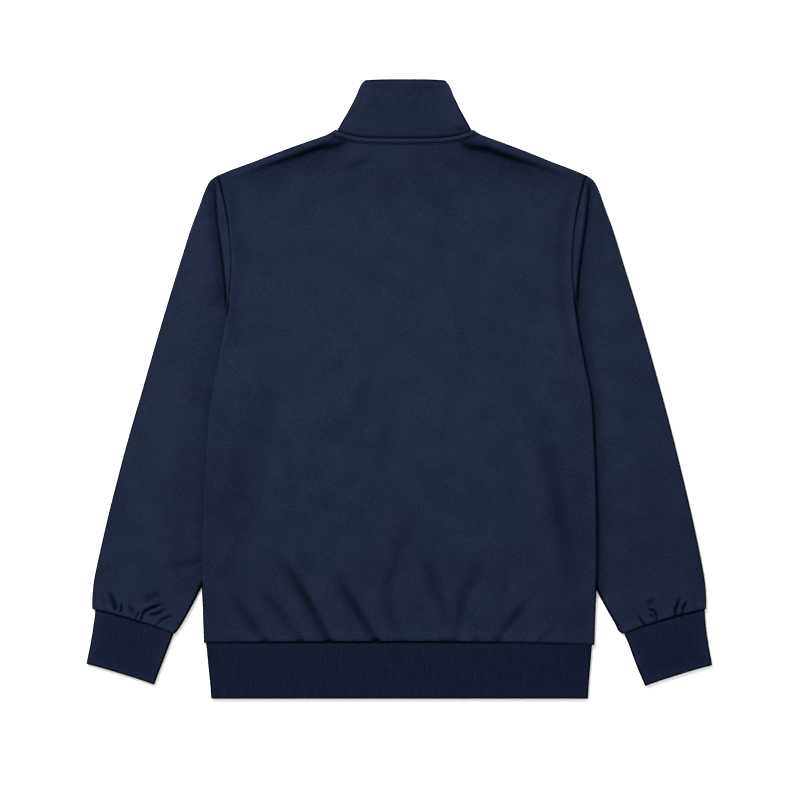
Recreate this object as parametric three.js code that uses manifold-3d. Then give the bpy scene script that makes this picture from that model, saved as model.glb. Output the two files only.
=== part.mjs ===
// Track jacket, laid flat with its back up. Millimetres, +Z up, collar towards +Y,
// origin in the middle of the floor patch that it lies on.
import * as THREE from 'three';
import Module from 'manifold-3d';
import { mergeVertices } from 'three/addons/utils/BufferGeometryUtils.js';

// Driving sizes
const CLOTH = 1.2; // body and sleeve cloth
const RIB = 2.3; // doubled rib of cuffs and hem band
const STAND = 2.0; // doubled collar
const SEAM = 0.3; // gap between sewn pieces
const LAY = 6.3; // height of the back panel above the floor
const HEM_Y = -382.3; // foot of the hem band
const BAND_Y = -312; // seam of the hem band
const PIT_Y = 88; // where armhole and side seam meet
const TIP_Y = 262; // shoulder tip
const NECK_HALF = 83; // half width of the collar at its seam
const NECK_SIDE_Y = 320; // where the neck seam meets the shoulder
const LEDGE_X = 89.5; // the shoulder line starts just outside the collar
const LEDGE_Y = 315.6;
const NECK_Y = 310.3; // back neck seam at the centre
const FRONT_NECK_Y = 243; // front neck seam at the zip
const COLLAR_TOP_Y = 382.3;
const FRONT_TOP_Y = 313; // top of the closed collar at the zip
const ZIP_X = -9; // the front lies a little to one side under the back
const ZIP_GAP = 6; // half the gap between the front edges
const TAPE_INNER = 2.7; // half the gap between the two tapes
const TAPE_OUTER = 14;
const CHAIN_WIDTH = 4.8;
const CHAIN_HEIGHT = 1.6;
const TAPE = 0.6;
const SLEEVE_EDGE_R = 3; // roll of the sleeve's outer edge
const UNDER_Z = 3; // height of the sleeve where it lies under the body
const LIFT = 3.3; // how far the fronts ride up over the sleeve
const LIFT_RAMP = 15;
const RIDE_PAST = 6; // they stay up this far past the sleeve's edge
const RIDE_ABOVE = 9; // and this far above the armpit
const RIDE_BELOW = 13; // and this far below the hidden part of the sleeve

// Small curve helpers
const clamp = (value, low, high) => Math.min(Math.max(value, low), high);
const mix = (a, b, t) => a + (b - a) * t;
const smooth = (t) => {
  const s = clamp(t, 0, 1);
  return s * s * (3 - 2 * s);
};

// A smooth function through the rows of a table, from column `at` to column `of`.
function through(table, at, of) {
  const rows = [...table].sort((p, q) => p[at] - q[at]);
  const slope = rows.map((row, i) => {
    const before = rows[Math.max(i - 1, 0)];
    const after = rows[Math.min(i + 1, rows.length - 1)];
    return (after[of] - before[of]) / (after[at] - before[at]);
  });
  return (value) => {
    const x = clamp(value, rows[0][at], rows[rows.length - 1][at]);
    let i = 0;
    while (i < rows.length - 2 && x > rows[i + 1][at]) {
      i += 1;
    }
    const span = rows[i + 1][at] - rows[i][at];
    const t = (x - rows[i][at]) / span;
    const u = 1 - t;
    return (1 + 2 * t) * u * u * rows[i][of] + t * u * u * span * slope[i]
      + t * t * (3 - 2 * t) * rows[i + 1][of] - t * t * u * span * slope[i + 1];
  };
}

// Half width of the body, from the hem seam up the side, then up the armhole to the shoulder tip
const BODY = [
  { y: -312, half: 241 },
  { y: -223, half: 243.8 },
  { y: -137, half: 243 },
  { y: -75, half: 240.1 },
  { y: -13, half: 235.6 },
  { y: 35, half: 226.4 },
  { y: 73, half: 219.3 },
  { y: 114, half: 213.8 },
  { y: 153, half: 211.1 },
  { y: 199, half: 214.3 },
  { y: 238, half: 221.4 },
  { y: 262, half: 227.6 },
];
const bodyHalf = through(BODY, 'y', 'half');

// Half width of the hem band, which pulls in towards its foot
const BAND = [
  { y: -382.3, half: 232.7 },
  { y: -366, half: 233.5 },
  { y: -341, half: 235.7 },
  { y: -312, half: 238.2 },
];
const bandHalf = through(BAND, 'y', 'half');

// The garment leans a little to the right towards the collar
const LEAN = [
  { y: -200, shift: 0 },
  { y: -75, shift: 1.2 },
  { y: 0, shift: 2.2 },
  { y: 260, shift: 2.8 },
  { y: 300, shift: 4.5 },
  { y: 320, shift: 5.7 },
  { y: 383, shift: 6.5 },
];
const lean = through(LEAN, 'y', 'shift');

// Sleeve, right side: a row for each section from the armhole to the cuff seam. `out` is the
// outer edge, `in` the underarm edge, part of which lies under the body.
const SLEEVE = [
  { t: 0, outX: 228.4, outY: 262, inX: 217.1, inY: 88 },
  { t: 0.02, outX: 236.5, outY: 255.3, inX: 216.8, inY: 80 },
  { t: 0.045, outX: 243, outY: 243, inX: 216, inY: 71 },
  { t: 0.08, outX: 249.5, outY: 226, inX: 213, inY: 58 },
  { t: 0.13, outX: 259, outY: 201, inX: 207, inY: 42 },
  { t: 0.2, outX: 271, outY: 163, inX: 195, inY: 17 },
  { t: 0.3, outX: 287.5, outY: 109.6, inX: 182, inY: -16 },
  { t: 0.4, outX: 303.5, outY: 55.5, inX: 176.5, inY: -50 },
  { t: 0.5, outX: 318.9, outY: 1.2, inX: 178, inY: -85 },
  { t: 0.6, outX: 334, outY: -53, inX: 187, inY: -122 },
  { t: 0.7, outX: 348.4, outY: -109, inX: 202, inY: -161 },
  { t: 0.79, outX: 360.3, outY: -158, inX: 220.5, inY: -201 },
  { t: 0.87, outX: 370, outY: -202, inX: 240.5, inY: -240 },
  { t: 0.93, outX: 376.5, outY: -235, inX: 255.5, inY: -268.2 },
  { t: 0.97, outX: 379.2, outY: -257, inX: 268.6, inY: -292.3 },
  { t: 1, outX: 379.6, outY: -271.5, inX: 278.2, inY: -301.2 },
];
const ARMHOLE_ROWS = [240, 218, 188, 156, 124, 100];

// Cuff, right side: a row for each section from the seam to the end
const CUFF = [
  { outX: 377.6, outY: -272.45, inX: 279.9, inY: -301.05 },
  { outX: 377.9, outY: -292, inX: 284.6, inY: -318 },
  { outX: 381, outY: -314, inX: 292.9, inY: -340 },
  { outX: 384.9, outY: -335, inX: 301.6, inY: -361 },
  { outX: 385.6, outY: -339.2, inX: 303.3, inY: -365 },
];

// Folds of the back panel: a row each, from head to foot, with the depth and half width of its trough
const FOLDS = [
  { name: 'shoulder_left', depth: 2.6, width: 7, line: [[-68, 302], [-123, 294], [-197, 265]] },
  { name: 'shoulder_right', depth: 2.8, width: 7, line: [[74, 302], [124, 293], [204, 268]] },
  { name: 'band_left', depth: 1.3, width: 17, line: [[-139, 21], [-166, -19], [-179, -75], [-203, -137]] },
  { name: 'long_right', depth: 1.3, width: 12, line: [[149, 5], [173, -50], [192, -124], [219, -227]] },
  { name: 'hem_1', depth: 1.6, width: 8, line: [[-202, -256], [-190, -275], [-164, -312]] },
  { name: 'hem_2', depth: 1.7, width: 8, line: [[-192, -237], [-164, -255], [-145, -279], [-123, -312]] },
  { name: 'hem_3', depth: 2.6, width: 9, line: [[-154, -200], [-117, -255], [-101, -284], [-87, -312]] },
  { name: 'hem_4', depth: 2.4, width: 9, line: [[-80, -214], [-54, -269], [-42, -287], [-32, -312]] },
  { name: 'hem_5', depth: 1.4, width: 8, line: [[16, -167], [-13, -243], [-12, -266], [-1, -312]] },
  { name: 'hem_6', depth: 1.6, width: 9, line: [[31, -221], [45, -249], [63, -312]] },
  { name: 'hem_7', depth: 1.4, width: 9, line: [[98, -224], [84, -249], [74, -312]] },
  { name: 'hem_9', depth: 1.4, width: 8, line: [[157, -265], [142, -284], [126, -312]] },
];

// Distance from a point to a fold's line, and how far along that line the nearest place is
function nearest(line, x, y) {
  let best = Infinity;
  let at = 0;
  line.slice(1).forEach(([bx, by], i) => {
    const [ax, ay] = line[i];
    const length2 = (bx - ax) ** 2 + (by - ay) ** 2;
    const t = clamp(((x - ax) * (bx - ax) + (y - ay) * (by - ay)) / length2, 0, 1);
    const distance = Math.hypot(x - mix(ax, bx, t), y - mix(ay, by, t));
    if (distance < best) {
      best = distance;
      at = (i + t) / (line.length - 1);
    }
  });
  return { distance: best, at };
}

// A trough fades in along the first part of its line; the hem folds stay deep down to the seam
const FADE_IN = 0.4;
function foldDepth(x, y) {
  return FOLDS.reduce((sum, fold) => {
    const { distance, at } = nearest(fold.line, x, y);
    const fade = smooth(at / FADE_IN);
    return sum + fold.depth * fade * Math.exp(-((distance / fold.width) ** 2));
  }, 0);
}

// Underarm edge of the sleeve as a half width for each height, where the body covers it
const hiddenRows = SLEEVE.filter((row) => row.t <= 0.87);
const hiddenHalf = through(hiddenRows, 'inY', 'inX');
const HIDDEN_FOOT = hiddenRows[hiddenRows.length - 1].inY;

// How far the fronts ride up: full over the hidden part of the sleeve, fading over a short ramp
function lift(x, y) {
  const row = clamp(y, HIDDEN_FOOT, PIT_Y);
  const across = Math.max(0, hiddenHalf(row) - RIDE_PAST - Math.abs(x));
  const beyond = Math.max(0, y - PIT_Y - RIDE_ABOVE, HIDDEN_FOOT - RIDE_BELOW - y);
  return LIFT * (1 - smooth(Math.hypot(across, beyond) / LIFT_RAMP));
}

// The neck end of the fronts and collar rides up over the slider
const NECK_LIFT = [
  { y: 130, rise: 0 },
  { y: 175, rise: 0.6 },
  { y: 215, rise: 2 },
  { y: 240, rise: 2.4 },
  { y: 320, rise: 2.4 },
];
const neckRise = through(NECK_LIFT, 'y', 'rise');
const NECK_RIDGE = 12; // half width of the raised strip along the zip
const NECK_FALL = 45; // width over which the rise fades beside it
const beside = (x) => smooth((Math.abs(x - ZIP_X) - NECK_RIDGE) / NECK_FALL);
const neckLift = (x, y) => neckRise(y) * (1 - beside(x));
const frontZ = (x, y) => Math.max(lift(x, y), neckLift(x, y));

// Closed wall between an outer and an inner grid of points, both [section][place]
function closedWall(outer, inner, ring) {
  const sections = outer.length;
  const places = outer[0].length;
  const positions = [...outer.flat(), ...inner.flat()].flatMap((p) => [p.x, p.y, p.z]);
  const out = (k, i) => k * places + (i % places);
  const back = (k, i) => sections * places + out(k, i);
  const index = [];
  const quad = (a, b, c, d) => index.push(a, b, c, a, c, d);
  const steps = ring ? places : places - 1;
  for (let k = 0; k < sections - 1; k += 1) {
    for (let i = 0; i < steps; i += 1) {
      quad(out(k, i), out(k, i + 1), out(k + 1, i + 1), out(k + 1, i));
      quad(back(k, i), back(k + 1, i), back(k + 1, i + 1), back(k, i + 1));
    }
  }
  for (let i = 0; i < steps; i += 1) {
    quad(out(0, i + 1), out(0, i), back(0, i), back(0, i + 1));
    quad(out(sections - 1, i), out(sections - 1, i + 1), back(sections - 1, i + 1), back(sections - 1, i));
  }
  if (!ring) {
    for (let k = 0; k < sections - 1; k += 1) {
      quad(out(k, 0), out(k + 1, 0), back(k + 1, 0), back(k, 0));
      quad(out(k + 1, places - 1), out(k, places - 1), back(k, places - 1), back(k + 1, places - 1));
    }
  }
  return facingOut(positions, index);
}

// Turns all triangles round where the signed volume says that they face inwards
function facingOut(positions, index) {
  const corner = (n) => new THREE.Vector3().fromArray(positions, index[n] * 3);
  let volume = 0;
  for (let n = 0; n < index.length; n += 3) {
    volume += corner(n).dot(corner(n + 1).cross(corner(n + 2)));
  }
  const faces = [...index];
  if (volume < 0) {
    for (let n = 0; n < faces.length; n += 3) {
      [faces[n + 1], faces[n + 2]] = [faces[n + 2], faces[n + 1]];
    }
  }
  const geometry = new THREE.BufferGeometry();
  geometry.setAttribute('position', new THREE.Float32BufferAttribute(positions, 3));
  geometry.setIndex(faces);
  return geometry;
}

// A sheet on a grid: the surface is pointAt(u, v), and its underside is one thickness along the
// normal, but never below floorAt(x, y)
function sheetWall(pointAt, us, vs, thickness, floorAt) {
  const outer = vs.map((v, k) => us.map((u, i) => pointAt(u, v, i, k)));
  const inner = outer.map((row, k) => row.map((point, i) => {
    const along = row[Math.min(i + 1, us.length - 1)].clone().sub(row[Math.max(i - 1, 0)]);
    const up = outer[Math.min(k + 1, vs.length - 1)][i].clone().sub(outer[Math.max(k - 1, 0)][i]);
    const normal = along.cross(up).normalize();
    const under = point.clone().addScaledVector(normal, -thickness);
    under.z = Math.max(under.z, floorAt(under.x, under.y));
    return under;
  }));
  return closedWall(outer, inner, false);
}

// Places across a flattened tube: close together on the rolled edges, even between
const ROLL_STEP_SHARE = 0.33;
function placesAcross(length, rollA, rollB, fractions) {
  return [
    0, ROLL_STEP_SHARE * rollA, rollA,
    ...fractions.map((f) => f * length),
    length - rollB, length - ROLL_STEP_SHARE * rollB, length,
  ];
}

// The inner face of a tube turns over its edges in no less than this
const INNER_ROLL = 1;

// One ring of a flattened tube of cloth, `inset` mm inside its outer face. The section gives
// its length across, the height of its top, and the radii of its two rolled edges.
function flatRing(section, inset) {
  const { length, top, rollA, rollB, fractions, place } = section;
  const inside = length - 2 * inset;
  const rA = Math.max(rollA - inset, INNER_ROLL);
  const rB = Math.max(rollB - inset, INNER_ROLL);
  const places = placesAcross(inside, rA, rB, fractions);
  const edge = (a) => {
    const e = a < inside / 2 ? a / rA : (inside - a) / rB;
    return Math.sqrt(Math.max(0, 1 - (1 - Math.min(e, 1)) ** 2));
  };
  const middle = (a) => (a < inside / 2 ? rollA : rollB);
  const upper = places.map((a) => {
    const high = top((a + inset) / length) - inset;
    return place(a + inset, mix(middle(a), high, edge(a)));
  });
  const lower = places.slice(1, -1).reverse().map((a) => {
    return place(a + inset, mix(middle(a), inset, edge(a)));
  });
  return [...upper, ...lower];
}

function flatTube(sections, thickness) {
  const outer = sections.map((section) => flatRing(section, 0));
  const inner = sections.map((section) => flatRing(section, thickness));
  return closedWall(outer, inner, true);
}

// The garment
const garment = new THREE.Group();

function cloth(colour, roughness) {
  return new THREE.MeshStandardMaterial({ color: colour, roughness, metalness: 0 });
}

function add(name, geometry, material) {
  const mesh = new THREE.Mesh(geometry, material);
  mesh.name = name;
  garment.add(mesh);
}

const bodyCloth = cloth('#232b41', 0.75);
const ribCloth = cloth('#181d30', 0.9);
const tapeCloth = cloth('#1b2136', 0.9);
const chainPlastic = new THREE.MeshStandardMaterial({ color: '#1a2034', roughness: 0.5, metalness: 0 });
const zipMetal = new THREE.MeshStandardMaterial({ color: '#20242e', roughness: 0.4, metalness: 0.6 });

// Shoulder line: a short ledge beside the collar, then straight to the shoulder tip
function shoulderLine(far) {
  if (far < LEDGE_X) {
    return mix(NECK_SIDE_Y, LEDGE_Y, (far - NECK_HALF) / (LEDGE_X - NECK_HALF));
  }
  return mix(LEDGE_Y, TIP_Y, (far - LEDGE_X) / (bodyHalf(TIP_Y) - LEDGE_X));
}

// Back neck seam: flat in the middle, turning up at its ends
const backNeck = (q) => q ** 4;

// Front neck seam: a round scoop that ends upright beside the collar
const frontNeck = (q) => 1 - Math.sqrt(Math.max(0, 1 - Math.min(q, 1) ** 2.2));

function backTop(x) {
  const far = Math.abs(x);
  const q = far / NECK_HALF;
  return q <= 1 ? mix(NECK_Y, NECK_SIDE_Y, backNeck(q)) : shoulderLine(far);
}

// Rows follow the side, then bend up more and more towards the shoulder line
const ROW_BEND_Y = 120;
const rowBend = (y) => smooth((y - ROW_BEND_Y) / (TIP_Y - ROW_BEND_Y));

// A fold's bottom stays this far above the front panels
const FOLD_CLEAR = 1;

// Soft trough in the back beside each armhole seam, `inset` from it
const ARMHOLE_TROUGH = { depth: 0.9, width: 9, inset: 16, topY: 235, footY: 40, fade: 40 };

// The back rises over the slider, which lies under the neck seam
const CROWN = { rise: 1.5, flatHalf: 12, fall: 60, footY: 225, fade: 45 };
function neckCrown(x, y) {
  const { rise, flatHalf, fall, footY, fade } = CROWN;
  return rise * (1 - smooth((Math.abs(x) - flatHalf) / fall)) * smooth((y - footY) / fade);
}

// The back rises by this share of what lies under it
const RISE_SHARE = 0.35;

function backHeight(x, y) {
  const base = LAY + RISE_SHARE * lift(x, y) + neckCrown(x, y);
  const { depth, width, inset, topY, footY, fade } = ARMHOLE_TROUGH;
  const off = (bodyHalf(clamp(y, BAND_Y, TIP_Y)) - inset - Math.abs(x)) / width;
  const along = smooth((y - footY) / fade) * smooth((topY - y) / fade);
  const high = base - foldDepth(x, y) - depth * along * Math.exp(-off * off);
  return Math.max(high, frontZ(x, y) + 2 * CLOTH + SEAM + FOLD_CLEAR);
}

// The side and shoulder edges turn down to meet the fronts; neck, armhole and hem edges don't
const EDGE_ROLL = 3;
const LIP_CLEAR = 0.35;
const edgeRoll = (distance) => {
  const e = clamp(distance / EDGE_ROLL, 0, 1);
  return 1 - Math.sqrt(1 - (1 - e) ** 2);
};
const TURN_ABOVE_PIT = { start: 14, fade: 18 }; // the side edge stops turning down up here
const TURN_BELOW_TIP = { start: 14, fade: 12 }; // and starts again close to the shoulder tip
const SHOULDER_START = { before: 2, fade: 8 }; // the shoulder edge starts to turn at the collar
const ROLL_STRETCH = 1.1; // the rows close to the shoulder lie nearer than their numbers say

function sideTurn(y) {
  const above = smooth((y - PIT_Y - TURN_ABOVE_PIT.start) / TURN_ABOVE_PIT.fade);
  const tip = smooth((y - TIP_Y + TURN_BELOW_TIP.start) / TURN_BELOW_TIP.fade);
  return 1 - above * (1 - tip);
}

function shoulderTurn(x) {
  return smooth((Math.abs(x) - NECK_HALF + SHOULDER_START.before) / SHOULDER_START.fade);
}

const BACK_ROWS = [
  -311.7, -296, -276, -252, -226, -196, -160, -120, -80, -40, 0, 40, 72, 88, 100, 124, 156, 188,
  218, 240, 252, 258.7, 261.2, 262,
];
const OUTER_COLUMNS = [0.5, 0.62, 0.76, 0.87, 1];
const NECK_ROLL = 3.6; // roll of the collar's side fold at its seam
const NECK_FLAT = NECK_HALF - NECK_ROLL;
const OVER_STEPS = [0.25, 0.5, 0.75, 1];
const COLUMN_MARGIN = 4; // the spread columns end this far from the side
const topSpan = bodyHalf(TIP_Y) - COLUMN_MARGIN;
const neckColumns = [...OVER_STEPS.map((f) => f * NECK_FLAT), NECK_HALF, LEDGE_X];
const rightColumns = [...neckColumns.map((x) => x / topSpan), ...OUTER_COLUMNS];
const COLUMNS = [...rightColumns.map((u) => -u).reverse(), 0, ...rightColumns];

// Near the hem the columns slide sideways so that they run down the folds
const HEM_SLIDE = [
  { u: -1, slide: 0 },
  { u: -0.76, slide: 22 },
  { u: -0.48, slide: 34 },
  { u: -0.2, slide: 24 },
  { u: 0.1, slide: 4 },
  { u: 0.5, slide: -14 },
  { u: 1, slide: 0 },
];
const hemSlide = through(HEM_SLIDE, 'u', 'slide');
const SLIDE_HEAD_Y = -140;
const SLIDE_LENGTH = 170;

// A column is a share of the half width up to 1, and beyond that it lies at the edge
const AT_EDGE = 2;
function columnX(u, half) {
  const share = Math.abs(u);
  const far = share > 1 ? half + AT_EDGE - share : share * (half - COLUMN_MARGIN);
  return Math.sign(u) * far;
}

function backPoint(u, y) {
  const half = bodyHalf(y);
  const slide = hemSlide(clamp(u, -1, 1)) * smooth((SLIDE_HEAD_Y - y) / SLIDE_LENGTH);
  const x = columnX(u, half) + slide;
  const top = y + rowBend(y) * (backTop(x) - TIP_Y);
  const sideDistance = half - Math.abs(x);
  const drop = Math.max(
    sideTurn(y) * edgeRoll(sideDistance),
    shoulderTurn(x) * edgeRoll((TIP_Y - y) * ROLL_STRETCH),
  );
  const low = frontZ(x, top) + CLOTH + SEAM + LIP_CLEAR;
  return new THREE.Vector3(x + lean(top), top, mix(backHeight(x, top), low, drop));
}

// Columns 3 mm and 0.8 mm in from the edge, and on it
const EDGE_COLUMNS = [AT_EDGE + EDGE_ROLL, AT_EDGE + 0.8, AT_EDGE];
const backColumns = [...EDGE_COLUMNS.map((e) => -e).reverse(), ...COLUMNS, ...EDGE_COLUMNS];
const frontFloor = (x, y) => frontZ(x - lean(y), y) + CLOTH + SEAM;
add('back', sheetWall(backPoint, backColumns, BACK_ROWS, CLOTH, frontFloor), bodyCloth);

// Front panels, from the zip edge to the side, under the back. Their columns run up to the
// neck seam and along the foot and the head of the ramp over the sleeve.
const NECK_STEPS = [0, 0.35, 0.65, 0.85, 1];
const SIDE_MARGIN = 6; // least width between the ramp's head and the side
const ROLL_STEP = NECK_FLAT + NECK_ROLL * Math.SQRT1_2;

function frontTop(x) {
  const far = Math.abs(x);
  const q = far / NECK_HALF;
  return q <= 1 ? mix(FRONT_NECK_Y, NECK_SIDE_Y, frontNeck(q)) : shoulderLine(far);
}

function frontColumns(side, y) {
  const half = bodyHalf(y);
  const head = Math.min(hiddenHalf(clamp(y, HIDDEN_FOOT, PIT_Y)) - RIDE_PAST, half - SIDE_MARGIN);
  const foot = head - LIFT_RAMP;
  const zipEdge = ZIP_X + side * ZIP_GAP;
  const neck = NECK_STEPS.map((f) => mix(zipEdge, side * NECK_FLAT, f));
  const beforeFoot = mix(LEDGE_X, foot, 0.5);
  const pastHead = mix(head, half, 0.5);
  const rest = [ROLL_STEP, NECK_HALF, LEDGE_X, beforeFoot, foot, head, pastHead, half];
  return [...neck, ...rest.map((x) => side * x)];
}

const FRONT_ROWS = BACK_ROWS.filter((y) => y !== 258.7 && y !== 261.2);

function frontPanel(side) {
  const outer = FRONT_ROWS.map((y) => frontColumns(side, y).map((x) => {
    const top = y + rowBend(y) * (frontTop(x) - TIP_Y);
    return new THREE.Vector3(x + lean(top), top, frontZ(x, top));
  }));
  const inner = outer.map((row) => row.map((p) => new THREE.Vector3(p.x, p.y, p.z + CLOTH)));
  return closedWall(outer, inner, false);
}
add('front_left', frontPanel(-1), bodyCloth);
add('front_right', frontPanel(1), bodyCloth);

// Sleeves: flattened tubes, low where they lie under the body, with a tuck beside the armhole
const TUCK = [
  { y: 97, x: 217 },
  { y: 123, x: 218 },
  { y: 147, x: 220 },
  { y: 175, x: 223.4 },
  { y: 213, x: 228.5 },
  { y: 250, x: 231 },
];
const tuckX = through(TUCK, 'y', 'x');
const TUCK_SECTION = { depth: 2.2, width: 4.5, footY: 105, footFade: 25, headY: 256, headFade: 10 };
const SLEEVE_Z = 6; // height of the sleeve where nothing lies on it
const OPEN = { above: 20, fade: 34 }; // the sleeve comes up out of the armhole above the pit
const CLEAR = { past: 14, fade: 28 }; // and outside the body's side
const FOOT = { below: 7, fade: 24 }; // and below its hidden part

function tuckDepth(x, y) {
  const { depth, width, footY, footFade, headY, headFade } = TUCK_SECTION;
  const valley = Math.exp(-(((x - tuckX(y)) / width) ** 2));
  return depth * valley * smooth((y - footY) / footFade) * smooth((headY - y) / headFade);
}

function sleeveTop(x, y) {
  const open = smooth((y - PIT_Y - OPEN.above) / OPEN.fade);
  const clear = smooth((x - bodyHalf(clamp(y, BAND_Y, TIP_Y)) - CLEAR.past) / CLEAR.fade);
  const covered = 1 - smooth((HIDDEN_FOOT - FOOT.below - y) / FOOT.fade);
  const height = mix(SLEEVE_Z, mix(UNDER_Z, SLEEVE_Z, clear), covered * (1 - open));
  return height - tuckDepth(x, y);
}

// Beside the armhole each section starts farther out than the one before it
const SEAM_CLEAR = 60;
const PIT_ROUND = 8;
const BOW_END = 0.3; // the armhole's curve fades out this far down the sleeve
const BOW_START = 0.06; // and starts this far from the shoulder tip

function sleeve(side) {
  const armholeSpan = SLEEVE[0].outY - SLEEVE[0].inY;
  const fractions = ARMHOLE_ROWS.map((y) => (SLEEVE[0].outY - y) / armholeSpan);
  const sections = SLEEVE.map((row) => {
    const dx = row.inX - row.outX;
    const dy = row.inY - row.outY;
    const length = Math.hypot(dx, dy);
    const bow = 1 - smooth(row.t / BOW_END);
    const spot = (a) => {
      const f = a / length;
      const y = row.outY + dy * f;
      const straight = row.outX + dx * f;
      const atArmhole = mix(SLEEVE[0].outX, SLEEVE[0].inX, f);
      const armholeY = clamp(mix(SLEEVE[0].outY, SLEEVE[0].inY, f), PIT_Y, TIP_Y);
      const curve = (bodyHalf(armholeY) + SEAM - atArmhole) * smooth(f / BOW_START);
      const seam = y > PIT_Y - PIT_ROUND && y < TIP_Y ? bodyHalf(y) + SEAM + SEAM_CLEAR * row.t : 0;
      return { x: Math.max(straight + bow * curve, seam), y };
    };
    const height = (f) => {
      const { x, y } = spot(f * length);
      return sleeveTop(x, y);
    };
    const place = (a, z) => {
      const { x, y } = spot(a);
      return new THREE.Vector3(side * x + lean(y), y, z);
    };
    const rollB = height(1) / 2;
    return { length, top: height, rollA: SLEEVE_EDGE_R, rollB, fractions, place };
  });
  return flatTube(sections, CLOTH);
}
add('sleeve_left', sleeve(-1), bodyCloth);
add('sleeve_right', sleeve(1), bodyCloth);

// Cuffs: doubled rib tubes, a little narrower than the sleeve end
const CUFF_HEIGHT = 5.6;
const CUFF_FRACTIONS = [0.3, 0.5, 0.7];
function cuff(side) {
  const sections = CUFF.map((row) => {
    const start = new THREE.Vector2(row.outX, row.outY);
    const run = new THREE.Vector2(row.inX, row.inY).sub(start);
    const length = run.length();
    const place = (a, z) => {
      const x = start.x + (run.x * a) / length;
      const y = start.y + (run.y * a) / length;
      return new THREE.Vector3(side * x, y, z);
    };
    const roll = CUFF_HEIGHT / 2;
    const top = () => CUFF_HEIGHT;
    return { length, top, rollA: roll, rollB: roll, fractions: CUFF_FRACTIONS, place };
  });
  return flatTube(sections, RIB);
}
add('cuff_left', cuff(-1), ribCloth);
add('cuff_right', cuff(1), ribCloth);

// Path round an open band that starts and ends at the zip: under to the left edge, over the
// back to the right edge, and under again. Each step has its place across, and its rise from
// the lower layer at -1 to the upper layer at 1.
function bandPath(half, height, inset) {
  const roll = height / 2 - inset;
  const flat = half - inset - roll;
  const steps = [];
  NECK_STEPS.forEach((f) => steps.push({ x: mix(ZIP_X - ZIP_GAP, -flat, f), angle: -90, side: -1 }));
  [-45, 0, 45].forEach((angle) => steps.push({ x: -flat, angle, side: -1 }));
  const over = [...OVER_STEPS.map((f) => -f).reverse(), 0, ...OVER_STEPS];
  over.forEach((f) => steps.push({ x: f * flat, angle: 90, side: f < 0 ? -1 : 1 }));
  [45, 0, -45].forEach((angle) => steps.push({ x: flat, angle, side: 1 }));
  const back = [...NECK_STEPS].reverse();
  back.forEach((f) => steps.push({ x: mix(ZIP_X + ZIP_GAP, flat, f), angle: -90, side: 1 }));
  return steps.map((step) => {
    const turn = THREE.MathUtils.degToRad(step.angle);
    const rounded = Math.abs(step.angle) < 90;
    return {
      x: step.x + (rounded ? step.side * roll * Math.cos(turn) : 0),
      rise: rounded ? Math.sin(turn) : Math.sign(step.angle),
    };
  });
}

// Hem band
const BAND_HEIGHT = 5.8;
const BAND_ROWS = [BAND_Y - SEAM, -328, -345, -364, HEM_Y];
function bandGrid(inset) {
  return BAND_ROWS.map((y) => {
    const steps = bandPath(bandHalf(y), BAND_HEIGHT, inset);
    return steps.map(({ x, rise }) => {
      const z = BAND_HEIGHT / 2 + rise * (BAND_HEIGHT / 2 - inset);
      return new THREE.Vector3(x + lean(y), y, z);
    });
  });
}
add('hem_band', closedWall(bandGrid(0), bandGrid(RIB), false), ribCloth);

// Collar: an open band whose back half stands towards +Y and whose front halves dip to the zip
const COLLAR = [
  { half: NECK_HALF, sideY: NECK_SIDE_Y, backY: NECK_Y, frontY: FRONT_NECK_Y, height: 7.2, crown: 0.7 },
  { half: 79, sideY: 327, backY: 319, frontY: 252, height: 7, crown: 0.7 },
  { half: 69.5, sideY: 343, backY: 339.5, frontY: 272, height: 6.2, crown: 0.3 },
  { half: 59, sideY: 362, backY: 364, frontY: 296, height: 5.4, crown: 0 },
  { half: 53.5, sideY: 376, backY: 379, frontY: 310, height: 4.8, crown: 0 },
  { half: 50.5, sideY: 380.5, backY: COLLAR_TOP_Y, frontY: FRONT_TOP_Y, height: 4.6, crown: 0 },
];

// The collar's front rides up over the slider, up to its middle part and this row
const RIDE_TOP_Y = 300;
const RIDE_HALF = 0.5;
const RIDE_FADE = 0.4;

function collarGrid(inset) {
  return COLLAR.map((row, k) => {
    const steps = bandPath(row.half, row.height, inset);
    return steps.map(({ x, rise }) => {
      const isBack = rise > 0;
      const seam = k === 0 ? SEAM : 0;
      const q = (Math.abs(x) + (isBack ? 0 : seam)) / row.half;
      const shape = isBack ? backNeck(q) : frontNeck(q);
      const y = mix(isBack ? row.backY : row.frontY, row.sideY, rise === 0 ? 1 : shape) + seam;
      const ride = neckLift(x, Math.min(y, RIDE_TOP_Y)) * (1 - smooth((q - RIDE_HALF) / RIDE_FADE));
      const low = isBack ? 0 : ride;
      const high = isBack ? row.crown * (1 - q * q) : 0;
      const z = row.height / 2 + rise * (row.height / 2 - inset);
      return new THREE.Vector3(x + lean(y), y, z + low + high);
    });
  });
}
add('collar', closedWall(collarGrid(0), collarGrid(STAND), false), bodyCloth);

// Zip: level of the tape's underside along its length
const CHAIN_ROWS = [-312, -220, -120, -20, 80, 130, 155, 175, 195, 215, 240, 262, 285];
const TAPE_TOP_Y = 311;
const tapeZ = (y) => CLOTH + SEAM + neckRise(y);
const zipX = (y) => ZIP_X + lean(y);

// A flat strip along the zip from x0(y) to x1(y), resting at z0(y)
function strip(rows, x0, x1, z0, height) {
  const row = (y, z) => [x0(y), x1(y)].map((x) => new THREE.Vector3(x, y, z));
  const lower = rows.map((y) => row(y, z0(y)));
  const upper = rows.map((y) => row(y, z0(y) + height));
  return closedWall(upper, lower, false);
}

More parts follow.
